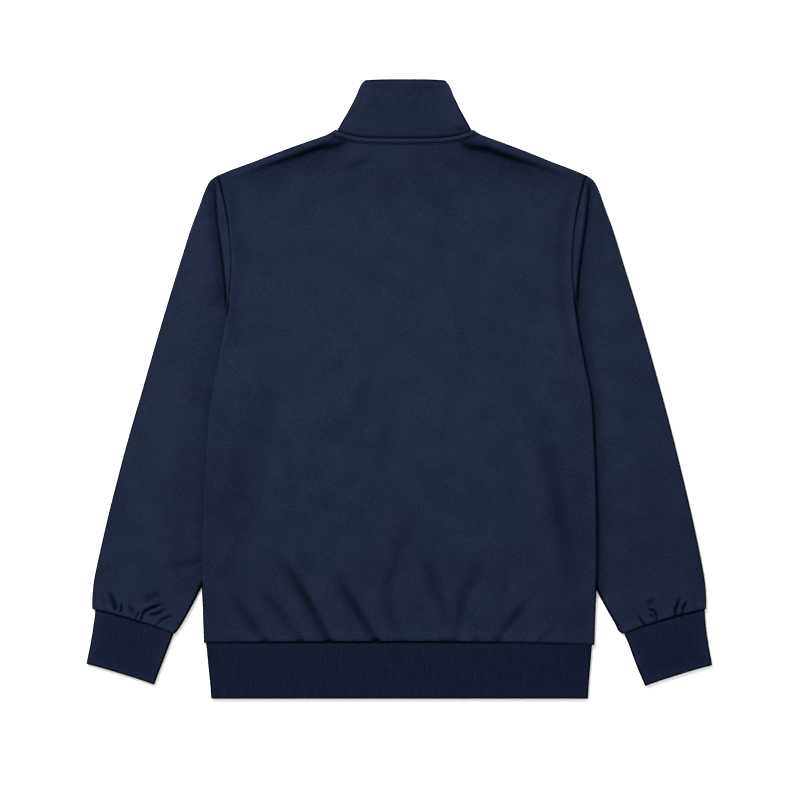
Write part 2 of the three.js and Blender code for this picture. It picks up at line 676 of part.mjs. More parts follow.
// The tape is sandwiched in the collar and in the hem band, so there only its inner edge shows
const TAPE_IN_BAND = 5.7;
const TAPE_CLEAR = 3; // it narrows this far before them
function tapeEdge(y) {
  const inBand = y < BAND_Y + TAPE_CLEAR;
  const inCollar = y > FRONT_NECK_Y - TAPE_CLEAR;
  return inBand || inCollar ? TAPE_IN_BAND : TAPE_OUTER;
}
const TAPE_ROWS = [
  HEM_Y, -310, -304, -220, -120, -20, 80, 130, 155, 175, 195, 215, 234, 241, 262, 285, TAPE_TOP_Y,
];
[-1, 1].forEach((side) => {
  const inner = (y) => zipX(y) + side * TAPE_INNER;
  const outer = (y) => zipX(y) + side * tapeEdge(y);
  const name = side < 0 ? 'zip_tape_left' : 'zip_tape_right';
  add(name, strip(TAPE_ROWS, inner, outer, tapeZ, TAPE), tapeCloth);
});

const BOX_LENGTH = 9;
const SLIDER_Y = 300; // middle of the slider
const SLIDER_LENGTH = 10;
const chainZ = (y) => tapeZ(y) + (TAPE - CHAIN_HEIGHT) / 2;
const CHAIN_END = 1.5; // the chain ends this far below the slider's middle
const chainRows = [HEM_Y + BOX_LENGTH + SEAM, ...CHAIN_ROWS, SLIDER_Y - CHAIN_END];
const chainEdge = (side) => (y) => zipX(y) + (side * CHAIN_WIDTH) / 2;
add('zip_chain', strip(chainRows, chainEdge(-1), chainEdge(1), chainZ, CHAIN_HEIGHT), chainPlastic);

// A block given by its lowest and highest corners
function block(x0, x1, y0, y1, z0, z1) {
  const geometry = new THREE.BoxGeometry(x1 - x0, y1 - y0, z1 - z0);
  geometry.translate((x0 + x1) / 2, (y0 + y1) / 2, (z0 + z1) / 2);
  return geometry;
}

const wasm = await Module();
wasm.setup();

function solid(geometry) {
  const bare = geometry.clone();
  bare.deleteAttribute('normal');
  bare.deleteAttribute('uv');
  const merged = mergeVertices(bare, 1e-4);
  return new wasm.Manifold(new wasm.Mesh({
    numProp: 3,
    vertProperties: merged.attributes.position.array,
    triVerts: new Uint32Array(merged.index.array),
  }));
}

function geometryOf(manifold) {
  const mesh = manifold.getMesh();
  const geometry = new THREE.BufferGeometry();
  geometry.setAttribute('position', new THREE.Float32BufferAttribute(mesh.vertProperties, 3));
  geometry.setIndex([...mesh.triVerts]);
  return geometry;
}

// Retaining box round the foot of the chain
const boxX = zipX(HEM_Y);
const BOX_HALF = 2.4;
const BOX_LOW = 0.8;
const BOX_HIGH = 2.8;
const box = block(boxX - BOX_HALF, boxX + BOX_HALF, HEM_Y, HEM_Y + BOX_LENGTH, BOX_LOW, BOX_HIGH);
add('zip_box', box, zipMetal);

// Slider: an upper and a lower plate joined by a bridge above the chain's end, with two ears
// and a pin under its lower end, where the pull tab hangs
const PLATE = 0.8;
const PLATE_HALF = 4.2;
const BRIDGE_HALF = 1.2;
const SINK = 0.2; // how far joined blocks go into each other
const sliderX = zipX(SLIDER_Y);
const chainLow = chainZ(SLIDER_Y);
const chainHigh = chainLow + CHAIN_HEIGHT;
const sliderFoot = SLIDER_Y - SLIDER_LENGTH / 2;
const sliderHead = SLIDER_Y + SLIDER_LENGTH / 2;
const lowerTop = chainLow - SEAM;
const upperFoot = chainHigh + SEAM;
const PIN_Z = 1.5;
const PIN_Y = sliderFoot - 1.6;
const PIN_R = 0.5;
const EYE_HOLE_R = 0.8;
const EYE_R = 1.35;
const EAR_IN = 2.1;
const EAR_OUT = 2.9;
const EAR_BELOW = 0.9; // the ears reach this far below the pin's middle
const EAR_PAST = 1; // and this far past it
const EAR_ROOT = 2; // they start this far inside the slider's foot
const SIDES = 12;

// A round bar along X
function bar(x0, x1, y, z, radius) {
  const geometry = new THREE.CylinderGeometry(radius, radius, x1 - x0, SIDES);
  geometry.rotateZ(Math.PI / 2);
  geometry.translate((x0 + x1) / 2, y, z);
  return geometry;
}

const plate = (z0) => block(
  sliderX - PLATE_HALF, sliderX + PLATE_HALF, sliderFoot, sliderHead, z0, z0 + PLATE,
);
const bridge = block(
  sliderX - BRIDGE_HALF, sliderX + BRIDGE_HALF, SLIDER_Y - 1, sliderHead, lowerTop - SINK, upperFoot + SINK,
);
const ear = (x0, x1) => block(
  sliderX + x0, sliderX + x1, PIN_Y - EAR_PAST, sliderFoot + EAR_ROOT, PIN_Z - EAR_BELOW, lowerTop - SINK,
);
const pin = bar(sliderX - EAR_OUT + SINK, sliderX + EAR_OUT - SINK, PIN_Y, PIN_Z, PIN_R);
const sliderPieces = [
  plate(lowerTop - PLATE), plate(upperFoot), bridge, ear(-EAR_OUT, -EAR_IN), ear(EAR_IN, EAR_OUT), pin,
];
const slider = sliderPieces.map(solid).reduce((whole, piece) => whole.add(piece));
add('zip_slider', geometryOf(slider), zipMetal);

// Pull tab: an eye round the slider's pin and a flat blade lying under the chain
const TAB_LENGTH = 26;
const TAB_HALF = 1.8;
const BLADE_HALF = 3.4;
const TAB_LOW = PIN_Z - EYE_R;
const BLADE = 1.2;
const NECK_THICK = 0.6;
const NECK_FROM = 0.4; // the narrow neck runs from the eye's middle
const NECK_TO = 4.5; // into the blade
const BLADE_FROM = 3.2; // which starts past the ears
const HOLE_PAST = 1;
const tabBlock = (half, from, to, thick) => solid(block(
  sliderX - half, sliderX + half, PIN_Y - to, PIN_Y - from, TAB_LOW, TAB_LOW + thick,
));
const eye = solid(bar(sliderX - TAB_HALF, sliderX + TAB_HALF, PIN_Y, PIN_Z, EYE_R));
const neckOfTab = tabBlock(TAB_HALF, NECK_FROM, NECK_TO, NECK_THICK);
const blade = tabBlock(BLADE_HALF, BLADE_FROM, TAB_LENGTH, BLADE);
const holeHalf = TAB_HALF + HOLE_PAST;
const hole = solid(bar(sliderX - holeHalf, sliderX + holeHalf, PIN_Y, PIN_Z, EYE_HOLE_R));
const tab = eye.add(neckOfTab).add(blade).subtract(hole);
add('pull_tab', geometryOf(tab), zipMetal);

export default garment;
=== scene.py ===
import math

import bpy
import numpy as np
from bpy.props import FloatProperty, FloatVectorProperty, PointerProperty
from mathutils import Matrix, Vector


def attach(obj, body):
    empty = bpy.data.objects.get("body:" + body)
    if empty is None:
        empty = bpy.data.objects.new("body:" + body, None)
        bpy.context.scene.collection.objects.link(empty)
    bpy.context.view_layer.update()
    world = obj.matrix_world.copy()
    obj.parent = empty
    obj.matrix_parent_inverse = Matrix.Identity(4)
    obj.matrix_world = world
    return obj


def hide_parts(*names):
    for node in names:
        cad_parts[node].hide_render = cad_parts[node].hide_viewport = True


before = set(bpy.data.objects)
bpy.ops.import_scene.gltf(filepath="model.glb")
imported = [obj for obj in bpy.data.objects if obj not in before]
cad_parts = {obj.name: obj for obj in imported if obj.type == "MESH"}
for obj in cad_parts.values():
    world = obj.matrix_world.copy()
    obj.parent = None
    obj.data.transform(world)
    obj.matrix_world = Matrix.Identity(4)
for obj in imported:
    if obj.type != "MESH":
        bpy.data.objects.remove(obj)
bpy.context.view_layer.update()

bl_info = {
    "name": "Track jacket, laid flat",
    "version": (1, 0, 0),
    "blender": (4, 5, 0),
    "location": "View3D > Sidebar > Jacket",
    "description": "Cloth pieces, rib, zip, floor and light of a track jacket laid back up",
    "category": "Object",
}

MM = 0.001

# Sizes of the garment, in millimetres, as in the part's own tables.
CLOTH = 1.2
RIB = 2.3
STAND = 2.0
SEAM = 0.3
LAY = 6.3
HEM_Y = -382.3
BAND_Y = -312.0
PIT_Y = 88.0
TIP_Y = 262.0
NECK_HALF = 83.0
NECK_SIDE_Y = 320.0
LEDGE_X = 89.5
LEDGE_Y = 315.6
NECK_Y = 310.3
FRONT_NECK_Y = 243.0
ZIP_X = -9.0
ZIP_GAP = 6.0
SLEEVE_EDGE_R = 3.0
SLEEVE_Z = 6.0
UNDER_Z = 3.0
LIFT = 3.3
LIFT_RAMP = 15.0
RIDE_PAST = 6.0
BAND_HEIGHT = 5.8
CUFF_HEIGHT = 5.6
EDGE_ROLL = 3.0
SEAM_ARC = 2.6
STITCH_DOWN = 7.4
SLEEVE_LONG = 575
CUFF_LONG = 68.0
CUFF_WIDE = 104
BAND_ROUND = 945
COLLAR_LONG = 74
TAPE_TOP_Y = 311.0
TAPE_INNER = 2.7
TAPE_OUTER = 14.0
TAPE_IN_BAND = 5.7
TAPE = 0.6
CHAIN_FOOT_Y = HEM_Y + 9.6
CHAIN_TOP_Y = 298.3

# Painted shade: how far the colour is darkened in a full furrow, on an edge's last millimetre and on hidden layers
FURROW_DARK = 0.76
RIM_SHADE = 0.03
TUBE_UNDER = 0.8
BAND_UNDER = 0.7
# Length of one wave of Blender's wave texture at scale 1
WAVE_LONG = 0.31416
SIDES = ((-1, "left"), (1, "right"))


def smooth(t):
    """Eases from 0 to 1: three t squared less two t cubed, for t held between 0 and 1."""
    s = np.clip(t, 0.0, 1.0)
    return s * s * (3.0 - 2.0 * s)


def mix(a, b, t):
    """The value that lies the share t of the way from a to b."""
    return a + (b - a) * t


def bell(t):
    """A soft hump: e to the power of minus t squared."""
    return np.exp(-t * t)


def through(places, values):
    """A smooth curve through points: a cubic between each two, whose slope at a point is that of the
    line between its neighbours."""
    order = np.argsort(places)
    p, v = np.asarray(places, float)[order], np.asarray(values, float)[order]
    last = len(p) - 1
    ahead, behind = np.minimum(np.arange(last + 1) + 1, last), np.maximum(np.arange(last + 1) - 1, 0)
    slope = (v[ahead] - v[behind]) / (p[ahead] - p[behind])

    def curve(x):
        x = np.clip(x, p[0], p[-1])
        i = np.clip(np.searchsorted(p, x, side="left") - 1, 0, last - 1)
        span = p[i + 1] - p[i]
        t = (x - p[i]) / span
        u = 1.0 - t
        return ((1 + 2 * t) * u * u * v[i] + t * u * u * span * slope[i]
                + t * t * (3 - 2 * t) * v[i + 1] - t * t * u * span * slope[i + 1])

    return curve


# Half width of the body, from the hem seam up the side and the armhole to the shoulder tip
BODY = np.array([
    (-312, 241.7), (-223, 244.3), (-137, 243), (-75, 240.1), (-13, 235.6), (35, 226.4), (73, 219.3),
    (114, 213.8), (153, 211.1), (199, 214.3), (238, 221.4), (262, 227.6),
])
body_half = through(BODY[:, 0], BODY[:, 1])
BAND = np.array([(-382.3, 233.1), (-366, 234.1), (-341, 236.4), (-312, 238.9)])
band_half = through(BAND[:, 0], BAND[:, 1])

# The garment leans a little to the right towards the collar
LEAN = np.array([
    (-382, -0.2), (-312, -0.7), (-250, -0.6), (-200, 0), (-75, 1.2), (0, 2.2), (260, 2.8), (300, 4.5),
    (320, 5.7), (383, 6.5),
])
lean = through(LEAN[:, 0], LEAN[:, 1])

# Sleeve, right side: share of its length, outer edge x and y, underarm edge x and y
SLEEVE = np.array([
    (0, 228.4, 262, 217.1, 88), (0.02, 236.5, 255.3, 216.8, 80), (0.045, 243, 243, 216, 71),
    (0.08, 249.5, 226, 213, 58), (0.13, 259, 201, 207, 42), (0.2, 271, 163, 195, 17),
    (0.3, 287.5, 109.6, 182, -16), (0.4, 303.5, 55.5, 176.5, -50), (0.5, 318.9, 1.2, 178, -85),
    (0.6, 334, -53, 187, -122), (0.7, 348.4, -109, 202, -161), (0.79, 360.3, -158, 220.5, -201),
    (0.87, 370, -202, 240.5, -240), (0.93, 376.5, -235, 255.5, -268.2),
    (0.965, 379, -254, 267.8, -289.6), (0.985, 379.6, -264.5, 273.2, -298.2),
    (1, 379.6, -271.5, 277.4, -302.3),
])
sleeve_edges = [through(SLEEVE[:, 0], SLEEVE[:, k]) for k in (1, 2, 3, 4)]
# How much further out than the table each sleeve's underarm edge shows near the cuff
left_shift = through([0.78, 0.87, 0.93, 0.965, 0.985, 1], [0, 1.3, 0.6, 0.2, 0.5, 0])
right_shift = through([0.78, 0.87, 0.93, 0.965, 0.985, 1], [0, -0.7, -1.2, -1.2, -2.4, -1.2])
HIDDEN = SLEEVE[SLEEVE[:, 0] <= 0.87]
hidden_half = through(HIDDEN[:, 4], HIDDEN[:, 3])
HIDDEN_FOOT = HIDDEN[:, 4].min()

# Cuff, right side, from the seam to the end
CUFF = np.array([
    (377.6, -272.45, 279.9, -301.05), (377.9, -292, 284.6, -318), (381, -314, 292.9, -340),
    (384.9, -335, 301.6, -361), (385.6, -339.2, 303.3, -365),
])
CUFF_PLACES = np.array([0, 0.27, 0.6, 0.93, 1.0])
cuff_edges = [through(CUFF_PLACES, CUFF[:, k]) for k in range(4)]

# Collar, from its seam to its top: half width, side y, back y, front y, height, crown
COLLAR = np.array([
    (83, 320, 310.3, 243, 7.2, 0.7), (79, 327, 319, 252, 7, 0.7), (69.5, 343, 339.5, 272, 6.2, 0.3),
    (59, 362, 364, 296, 5.4, 0), (53.5, 376, 379, 310, 4.8, 0), (50.5, 380.5, 382.3, 313, 4.6, 0),
])
COLLAR_PLACES = np.array([0, 0.12, 0.41, 0.75, 0.955, 1.0])
collar_rows = [through(COLLAR_PLACES, COLLAR[:, k]) for k in range(6)]

# How much wider than the part the collar shows, in millimetres, by the same places
collar_wider = through([0, 0.22, 0.45, 0.68, 0.87, 0.955, 1.0], [0.3, 0.9, 1.1, 1.8, 1.4, 0.9, 0.2])

NECK_LIFT = np.array([(130, 0), (175, 0.6), (215, 2), (240, 2.4), (320, 2.4)])
neck_rise = through(NECK_LIFT[:, 0], NECK_LIFT[:, 1])

# Tuck in the sleeve beside the armhole seam, right side: y and x of its bottom
TUCK = np.array([(97, 217), (123, 218), (147, 220), (175, 223.4), (213, 228.5), (250, 231)])
tuck_x = through(TUCK[:, 0], TUCK[:, 1])

# Creases. Each has its path from head to foot, the depth of its trough, the widths of its left and
# its right wall, the heights of the soft ridge on each side, and the shares of its length over which
# its head and its foot fade.
BACK_CREASES = [
    ([(-24, 290), (-48, 280), (-76, 267)], 0.6, 5, 3.5, (0.1, 0.2), (0.4, 0.4)),
    ([(46, 290), (68, 278), (96, 267)], 0.6, 3.5, 5, (0.2, 0.1), (0.4, 0.4)),
    ([(-125, 45), (-140, 19), (-166, -19), (-181, -75), (-203, -137), (-222, -205)],
     1.5, 18, 13, (0.5, 0.4), (0.3, 0.3)),
    ([(-20, 36), (-34, 12), (-60, -37), (-86, -86)], 0.6, 5, 5, (0.2, 0.2), (0.4, 0.4)),
    ([(140, 28), (149, 5), (173, -50), (192, -120), (205, -187), (213, -222), (220, -270)],
     1.6, 10, 7, (0.4, 0.6), (0.5, 0.3)),
    ([(-210, -243), (-201, -257), (-188, -281), (-166, -310)], 1.3, 4, 4.5, (0.4, 0.3), (0.45, 0.0)),
    ([(-184, -236), (-168, -250), (-147, -274), (-122, -310)], 1.2, 4, 5, (0.4, 0.3), (0.4, 0.0)),
    ([(-168, -182), (-157, -196), (-144, -212), (-121, -246), (-103, -278), (-87, -310)],
     2.3, 4.0, 5.5, (0.5, 0.5), (0.65, 0.0)),
    ([(-133, -178), (-113, -214), (-96, -246)], 0.6, 5, 5, (0.2, 0.2), (0.4, 0.4)),
    ([(-92, -200), (-81, -222), (-62, -255), (-44, -285), (-28, -310)], 2.3, 4.0, 4.8, (0.5, 0.5), (0.85, 0.0)),
    ([(28, -138), (16, -168), (-3, -211), (-14, -248), (-7, -285), (5, -310)], 1.2, 6, 6, (0.3, 0.3), (0.5, 0.1)),
    ([(24, -192), (34, -218), (45, -244), (56, -277), (63, -310)], 1.4, 6, 5, (0.3, 0.4), (0.3, 0.45)),
    ([(106, -205), (93, -233), (82, -251), (76, -277), (72, -310)], 1.2, 5, 5, (0.4, 0.3), (0.4, 0.0)),
    ([(142, -226), (132, -243), (118, -270)], 0.6, 5, 5, (0.1, 0.1), (0.4, 0.4)),
    ([(168, -252), (154, -268), (137, -289), (121, -310)], 1.2, 3.6, 4, (0.3, 0.4), (0.5, 0.0)),
    ([(198, -290), (189, -296), (173, -310)], 0.9, 3, 3, (0.2, 0.2), (0.8, 0.0)),
]
# Places along the hem seam where the cloth is drawn in: x, half width and depth
HEM_NICKS = np.array([
    (-202, 9, 0.5), (-164, 6, 1.0), (-122, 6, 1.0), (-85, 6, 1.2), (-55, 5, 0.5), (-29, 6, 1.3),
    (4, 6, 0.9), (35.6, 5, 0.8), (54, 5, 1.0), (66, 5, 1.1), (95, 5, 1.0), (123, 6, 1.0),
    (150, 5, 0.4), (174, 6, 0.7), (208, 7, 0.4),
])
LEFT_SLEEVE_CREASES = [
    ([(-240, -207), (-261, -217), (-281, -221), (-302, -226)], 1.2, 5, 5, (0.5, 0.1), (0.2, 0.6)),
    ([(-360, -246), (-356, -256), (-351, -268), (-350, -274)], 2.0, 3.0, 2.2, (0.2, 0.3), (0.5, 0.1)),
    ([(-343.5, -263), (-342.8, -270), (-344, -276)], 2.2, 1.5, 1.5, (0.9, 0.9), (0.3, 0.1)),
    ([(-334, -262), (-332, -270), (-328, -278)], 1.3, 2.6, 2.6, (0.3, 0.6), (0.6, 0.0)),
    ([(-320.5, -273), (-322, -276), (-325, -283)], 2.0, 1.3, 1.3, (0.9, 0.9), (0.3, 0.0)),
    ([(-288, -264), (-296.4, -266.9), (-306.9, -270.9), (-314.9, -275.5), (-318.2, -284)],
     2.6, 1.7, 1.9, (0.5, 1.0), (0.45, 0.0)),
    ([(-286, -271), (-300, -277.5), (-311, -278.8)], 1.1, 2.0, 2.0, (0.4, 0.6), (0.5, 0.2)),
    ([(-276, -278), (-292.4, -284.1), (-300.4, -292)], 0.9, 1.6, 1.6, (0.3, 0.5), (0.4, 0.0)),
    ([(-292, -252), (-307, -258), (-317, -266)], 1.0, 4.5, 4.5, (0.3, 0.3), (0.4, 0.4)),
    ([(-368, -252), (-363, -264), (-362, -274)], 0.5, 3, 3, (0.2, 0.2), (0.4, 0.0)),
]
RIGHT_SLEEVE_CREASES = [
    ([(305, -271.5), (313.0, -272.9), (316.9, -276.8), (318.3, -285)], 2.4, 1.6, 1.8, (1.0, 0.4), (0.3, 0.0)),
    ([(307, -278), (310.4, -279), (315, -281)], 1.4, 1.4, 1.4, (0.4, 0.4), (0.4, 0.3)),
    ([(314, -256), (309.7, -265), (304, -269)], 1.5, 4.0, 4.0, (0.2, 0.3), (0.45, 0.45)),
    ([(348, -254), (346.1, -259.6), (342.7, -267.6), (340.8, -274.1), (341.5, -281)],
     1.7, 1.7, 2.0, (0.7, 0.9), (0.5, 0.0)),
    ([(357, -259), (354.0, -263.6), (350.8, -268.8), (349.4, -277)], 1.3, 1.8, 1.6, (0.3, 0.9), (0.4, 0.0)),
    ([(292, -276), (298.4, -284.7), (304.5, -293)], 1.5, 1.7, 1.7, (0.3, 0.7), (0.45, 0.0)),
    ([(366, -250), (365, -262), (365, -275)], 0.5, 3, 3, (0.2, 0.2), (0.4, 0.0)),
    ([(262, -212), (277, -222), (296, -227)], 0.6, 6, 6, (0.2, 0.2), (0.4, 0.5)),
]
COLLAR_CREASES = [
    ([(66, 323), (74, 321.5), (82, 323)], 0.9, 2.2, 2.2, (0.2, 0.2), (0.4, 0.3)),
]


def nearest_on(path, x, y):
    """For each point (x, y), its distance to the path, more than 0 on the left of it, and the share of
    the path's length where it is nearest."""
    line = np.asarray(path, float)
    at = np.concatenate([[0], np.cumsum(np.hypot(*np.diff(line, axis=0).T))])
    steps = np.linspace(0, at[-1], 28)
    px, py = through(at, line[:, 0])(steps), through(at, line[:, 1])(steps)
    dx, dy = np.diff(px), np.diff(py)
    ox, oy = x[..., None] - px[:-1], y[..., None] - py[:-1]
    t = np.clip((ox * dx + oy * dy) / (dx * dx + dy * dy), 0, 1)
    away = np.hypot(ox - t * dx, oy - t * dy)
    k = away.argmin(-1)
    take = lambda grid: np.take_along_axis(grid, k[..., None], -1)[..., 0]
    side = np.sign(dx[k] * take(oy) - dy[k] * take(ox))
    return take(away) * side, (k + take(t)) / (len(steps) - 1)


def creased(creases, x, y):
    """Height and furrow of all creases. Across a crease the height is a trough, minus depth times a bell
    of the distance over the wall's width, and beside it on each side a ridge, a bell one and a half
    widths wide and two widths away. Both fade towards the crease's ends, and a long crease is wider at
    its head. The furrow is the bell alone, narrower on the side that faces the light, by how steep the
    crease is, and tells where the cloth lies in shade."""
    z, furrow = np.zeros(np.shape(x)), np.zeros(np.shape(x))
    for path, depth, left, right, ridges, (head, foot) in creases:
        line = np.asarray(path, float)
        reach = 4 * max(left, right)
        near = ((x > line[:, 0].min() - reach) & (x < line[:, 0].max() + reach)
                & (y > line[:, 1].min() - reach) & (y < line[:, 1].max() + reach))
        s, at = nearest_on(path, x[near], y[near])
        flare = 1 + 0.8 * smooth((line[0, 1] - line[-1, 1] - 40) / 30) * (1 - at)
        wall = np.where(s > 0, left, right) * flare
        ending = smooth((1 - at) / foot) if foot > 0 else 1 - 0.3 * smooth((at - 0.65) / 0.3)
        strength = smooth(at / head) * ending
        ridge = np.where(s > 0, *ridges) * bell((np.abs(s) / wall - 2.0) / 1.5)
        z[near] += strength * (ridge - depth * bell(s / wall))
        steep = depth / min(left, right)
        lit = bell(np.where(s > 0, s, 0) / (0.85 * wall)) * bell(np.where(s < 0, s, 0) / (1.25 * wall))
        furrow[near] += strength * min(1.45 * steep, 1.0) * lit
    return z, np.minimum(furrow, 1)


def waves(x, y, seed, size, height):
    """Gentle unevenness: the sum of twelve sine waves in seeded directions, of lengths near size."""
    r = np.random.default_rng(seed)
    z = np.zeros(np.shape(x))
    for turn, share, phase in zip(r.uniform(0, math.pi, 12), r.uniform(0.6, 1.6, 12), r.uniform(0, 6.28, 12)):
        k = 2 * math.pi / (size * share)
        z += np.sin(k * (x * math.cos(turn) + y * math.sin(turn)) + phase)
    return height * z / 3.5


def lift(x, y):
    """How far the fronts ride up over the sleeves that lie under them: in full over the sleeve, easing
    to nothing down the ramp beside it."""
    row = np.clip(y, HIDDEN_FOOT, PIT_Y)
    across = np.maximum(0, hidden_half(row) - RIDE_PAST - np.abs(x))
    beyond = np.maximum(0, np.maximum(y - PIT_Y - 9, HIDDEN_FOOT - 13 - y))
    return LIFT * (1 - smooth(np.hypot(across, beyond) / LIFT_RAMP))


def neck_lift(x, y):
    """How far the fronts and the collar ride up over the slider: in full near the zip, easing to nothing
    45 mm further out."""
    return neck_rise(y) * (1 - smooth((np.abs(x - ZIP_X) - 12) / 45))


def front_z(x, y):
    """Height of the underside of the fronts."""
    return np.maximum(lift(x, y), neck_lift(x, y))


def sag(x):
    """How much lower the hem seam hangs towards the sides, by the square of the place across."""
    return np.where(x < 0, 1.6, 4.2) * np.minimum(np.abs(x) / 238, 1) ** 2


def shoulder_line(far):
    """y of the shoulder edge: a short ledge beside the collar, then straight to the tip, a little
    higher at both ends."""
    ledge = mix(NECK_SIDE_Y, LEDGE_Y, (far - NECK_HALF) / (LEDGE_X - NECK_HALF))
    share = np.clip((far - LEDGE_X) / (body_half(TIP_Y) - LEDGE_X), 0, 1)
    slope = mix(LEDGE_Y, TIP_Y, share) + 1.8 * np.sin(math.pi * share)
    high = smooth((far - 80) / 5) * (1.4 + 1.6 * bell((far - 87) / 7)) + 1.5 * smooth((far - 180) / 38)
    return np.where(far < LEDGE_X, ledge, slope) + high


def back_neck(q):
    """Back neck curve: the fourth power of the share of the half width."""
    return q ** 4


def front_neck(q):
    """Front neck scoop, which ends upright beside the collar."""
    return 1 - np.sqrt(np.maximum(0, 1 - np.minimum(q, 1) ** 2.2))


def back_top(x):
    """y of the back's upper edge: the neck curve, and beside it the shoulder line."""
    far = np.abs(x)
    q = np.minimum(far / NECK_HALF, 1)
    return np.where(far <= NECK_HALF, mix(NECK_Y, NECK_SIDE_Y, back_neck(q)), shoulder_line(far))


def front_top(x):
    """y of the fronts' upper edge: the neck scoop, and beside it the shoulder line."""
    far = np.abs(x)
    q = np.minimum(far / NECK_HALF, 1)
    return np.where(far <= NECK_HALF, mix(FRONT_NECK_Y, NECK_SIDE_Y, front_neck(q)), shoulder_line(far))


def row_bend(y):
    """How much of the upper edge's form a row takes, easing from none to all up to the tip's height."""
    return smooth((y - 120.0) / (TIP_Y - 120.0))


def outline(distance):
    """Weight of the painted dark rim along an edge: 1 up to 1.3 mm from it, easing to 0 at 2.8 mm."""
    return 1 - smooth((distance - 1.3) / 1.5)


def quarter(distance, radius):
    """Drop of a rolled edge: 1 at the edge and 0 from one radius in, along a quarter circle."""
    e = np.clip(distance / radius, 0, 1)
    return 1 - np.sqrt(1 - (1 - e) ** 2)


# Making meshes ---------------------------------------------------------------------------------


def edge_steps(radius, count):
    """Distances in from an edge, closest at the edge."""
    return radius * (np.arange(count) / count) ** 1.6


def grid_quads(rows, cols, ring=True):
    """Faces of a grid of points. With ring, the last column joins the first."""
    k, i = np.meshgrid(np.arange(rows - 1), np.arange(cols if ring else cols - 1), indexing="ij")
    j = (i + 1) % cols
    return np.stack([k * cols + i, k * cols + j, (k + 1) * cols + j, (k + 1) * cols + i], -1).reshape(-1, 4)


def linked(name, mesh, material):
    """An object in the scene for a finished mesh, with its material."""
    obj = bpy.data.objects.new(name, mesh)
    bpy.context.scene.collection.objects.link(obj)
    mesh.materials.append(material)
    return obj


def grid_mesh(name, points, uv, shade, material, ring=False, flip=False):
    """One smooth mesh from a grid of points in millimetres, rows by columns. Faces point along columns
    times rows, or the other way round with flip. The painted shade of each point, 1 in the open and
    less in furrows and along rolled edges, goes into an attribute that darkens its colour."""
    rows, cols = points.shape[:2]
    quads = grid_quads(rows, cols, ring)
    corner_uv = np.stack([uv[:-1, :-1], uv[:-1, 1:], uv[1:, 1:], uv[1:, :-1]], 2).reshape(-1, 4, 2)
    if flip:
        quads, corner_uv = quads[:, ::-1], corner_uv[:, ::-1]
    mesh = bpy.data.meshes.new(name)
    mesh.vertices.add(rows * cols)
    mesh.vertices.foreach_set("co", (points.reshape(-1, 3) * MM).astype(np.float32).ravel())
    mesh.loops.add(quads.size)
    mesh.loops.foreach_set("vertex_index", np.ascontiguousarray(quads).astype(np.int32).ravel())
    mesh.polygons.add(len(quads))
    mesh.polygons.foreach_set("loop_start", np.arange(0, quads.size, 4, dtype=np.int32))
    mesh.polygons.foreach_set("use_smooth", np.ones(len(quads), bool))
    layer = mesh.uv_layers.new(name="cloth")
    layer.data.foreach_set("uv", (np.ascontiguousarray(corner_uv) * MM).astype(np.float32).ravel())
    tone = mesh.attributes.new("shade", "FLOAT", "POINT")
    tone.data.foreach_set("value", np.broadcast_to(shade, (rows, cols)).astype(np.float32).ravel())
    mesh.update(calc_edges=True)
    mesh.validate()
    return linked(name, mesh, material)


def settle(obj, node):
    """Puts a finished piece in the frame in place of its CAD node."""
    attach(obj, "garment")
    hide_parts(node)


def cloth_piece(name, grid, material, thickness, slot, node, sheet, **turned):
    """One cloth piece from its grid, with its wall inwards from its outer face."""
    obj = grid_mesh(name, *grid, material, **turned)
    wall = obj.modifiers.new("wall", "SOLIDIFY")
    wall.thickness = thickness * MM
    wall.offset = -1.0
    wall.use_rim = True
    settle(obj, node)


# Cloth surfaces --------------------------------------------------------------------------------


def neck_seam(x):
    """y and steepness of the back neck seam, whose curve runs on past the collar to the shoulder edge."""
    q = np.minimum(np.abs(x) / NECK_HALF, 1)
    slope = 4 * (NECK_SIDE_Y - NECK_Y) * q ** 3 / NECK_HALF
    return mix(NECK_Y, NECK_SIDE_Y, back_neck(q)) + slope * np.maximum(0, np.abs(x) - NECK_HALF), slope


def neck_gap(x, y):
    """Distance below the neck seam."""
    seam, slope = neck_seam(x)
    return (seam - y) / np.sqrt(1 + slope * slope)


def shoulder_gap(x, y):
    """Distance below the shoulder edge, straight from the collar to the tip."""
    slope = (LEDGE_Y - TIP_Y) / (body_half(TIP_Y) - LEDGE_X)
    return (LEDGE_Y - slope * (np.abs(x) - LEDGE_X) - y) / math.hypot(1, slope)


def dusk(y):
    """Painted shade by height: the colour eases to a little darker towards the hem."""
    return 1 - 0.05 * smooth((-20 - y) / 160)


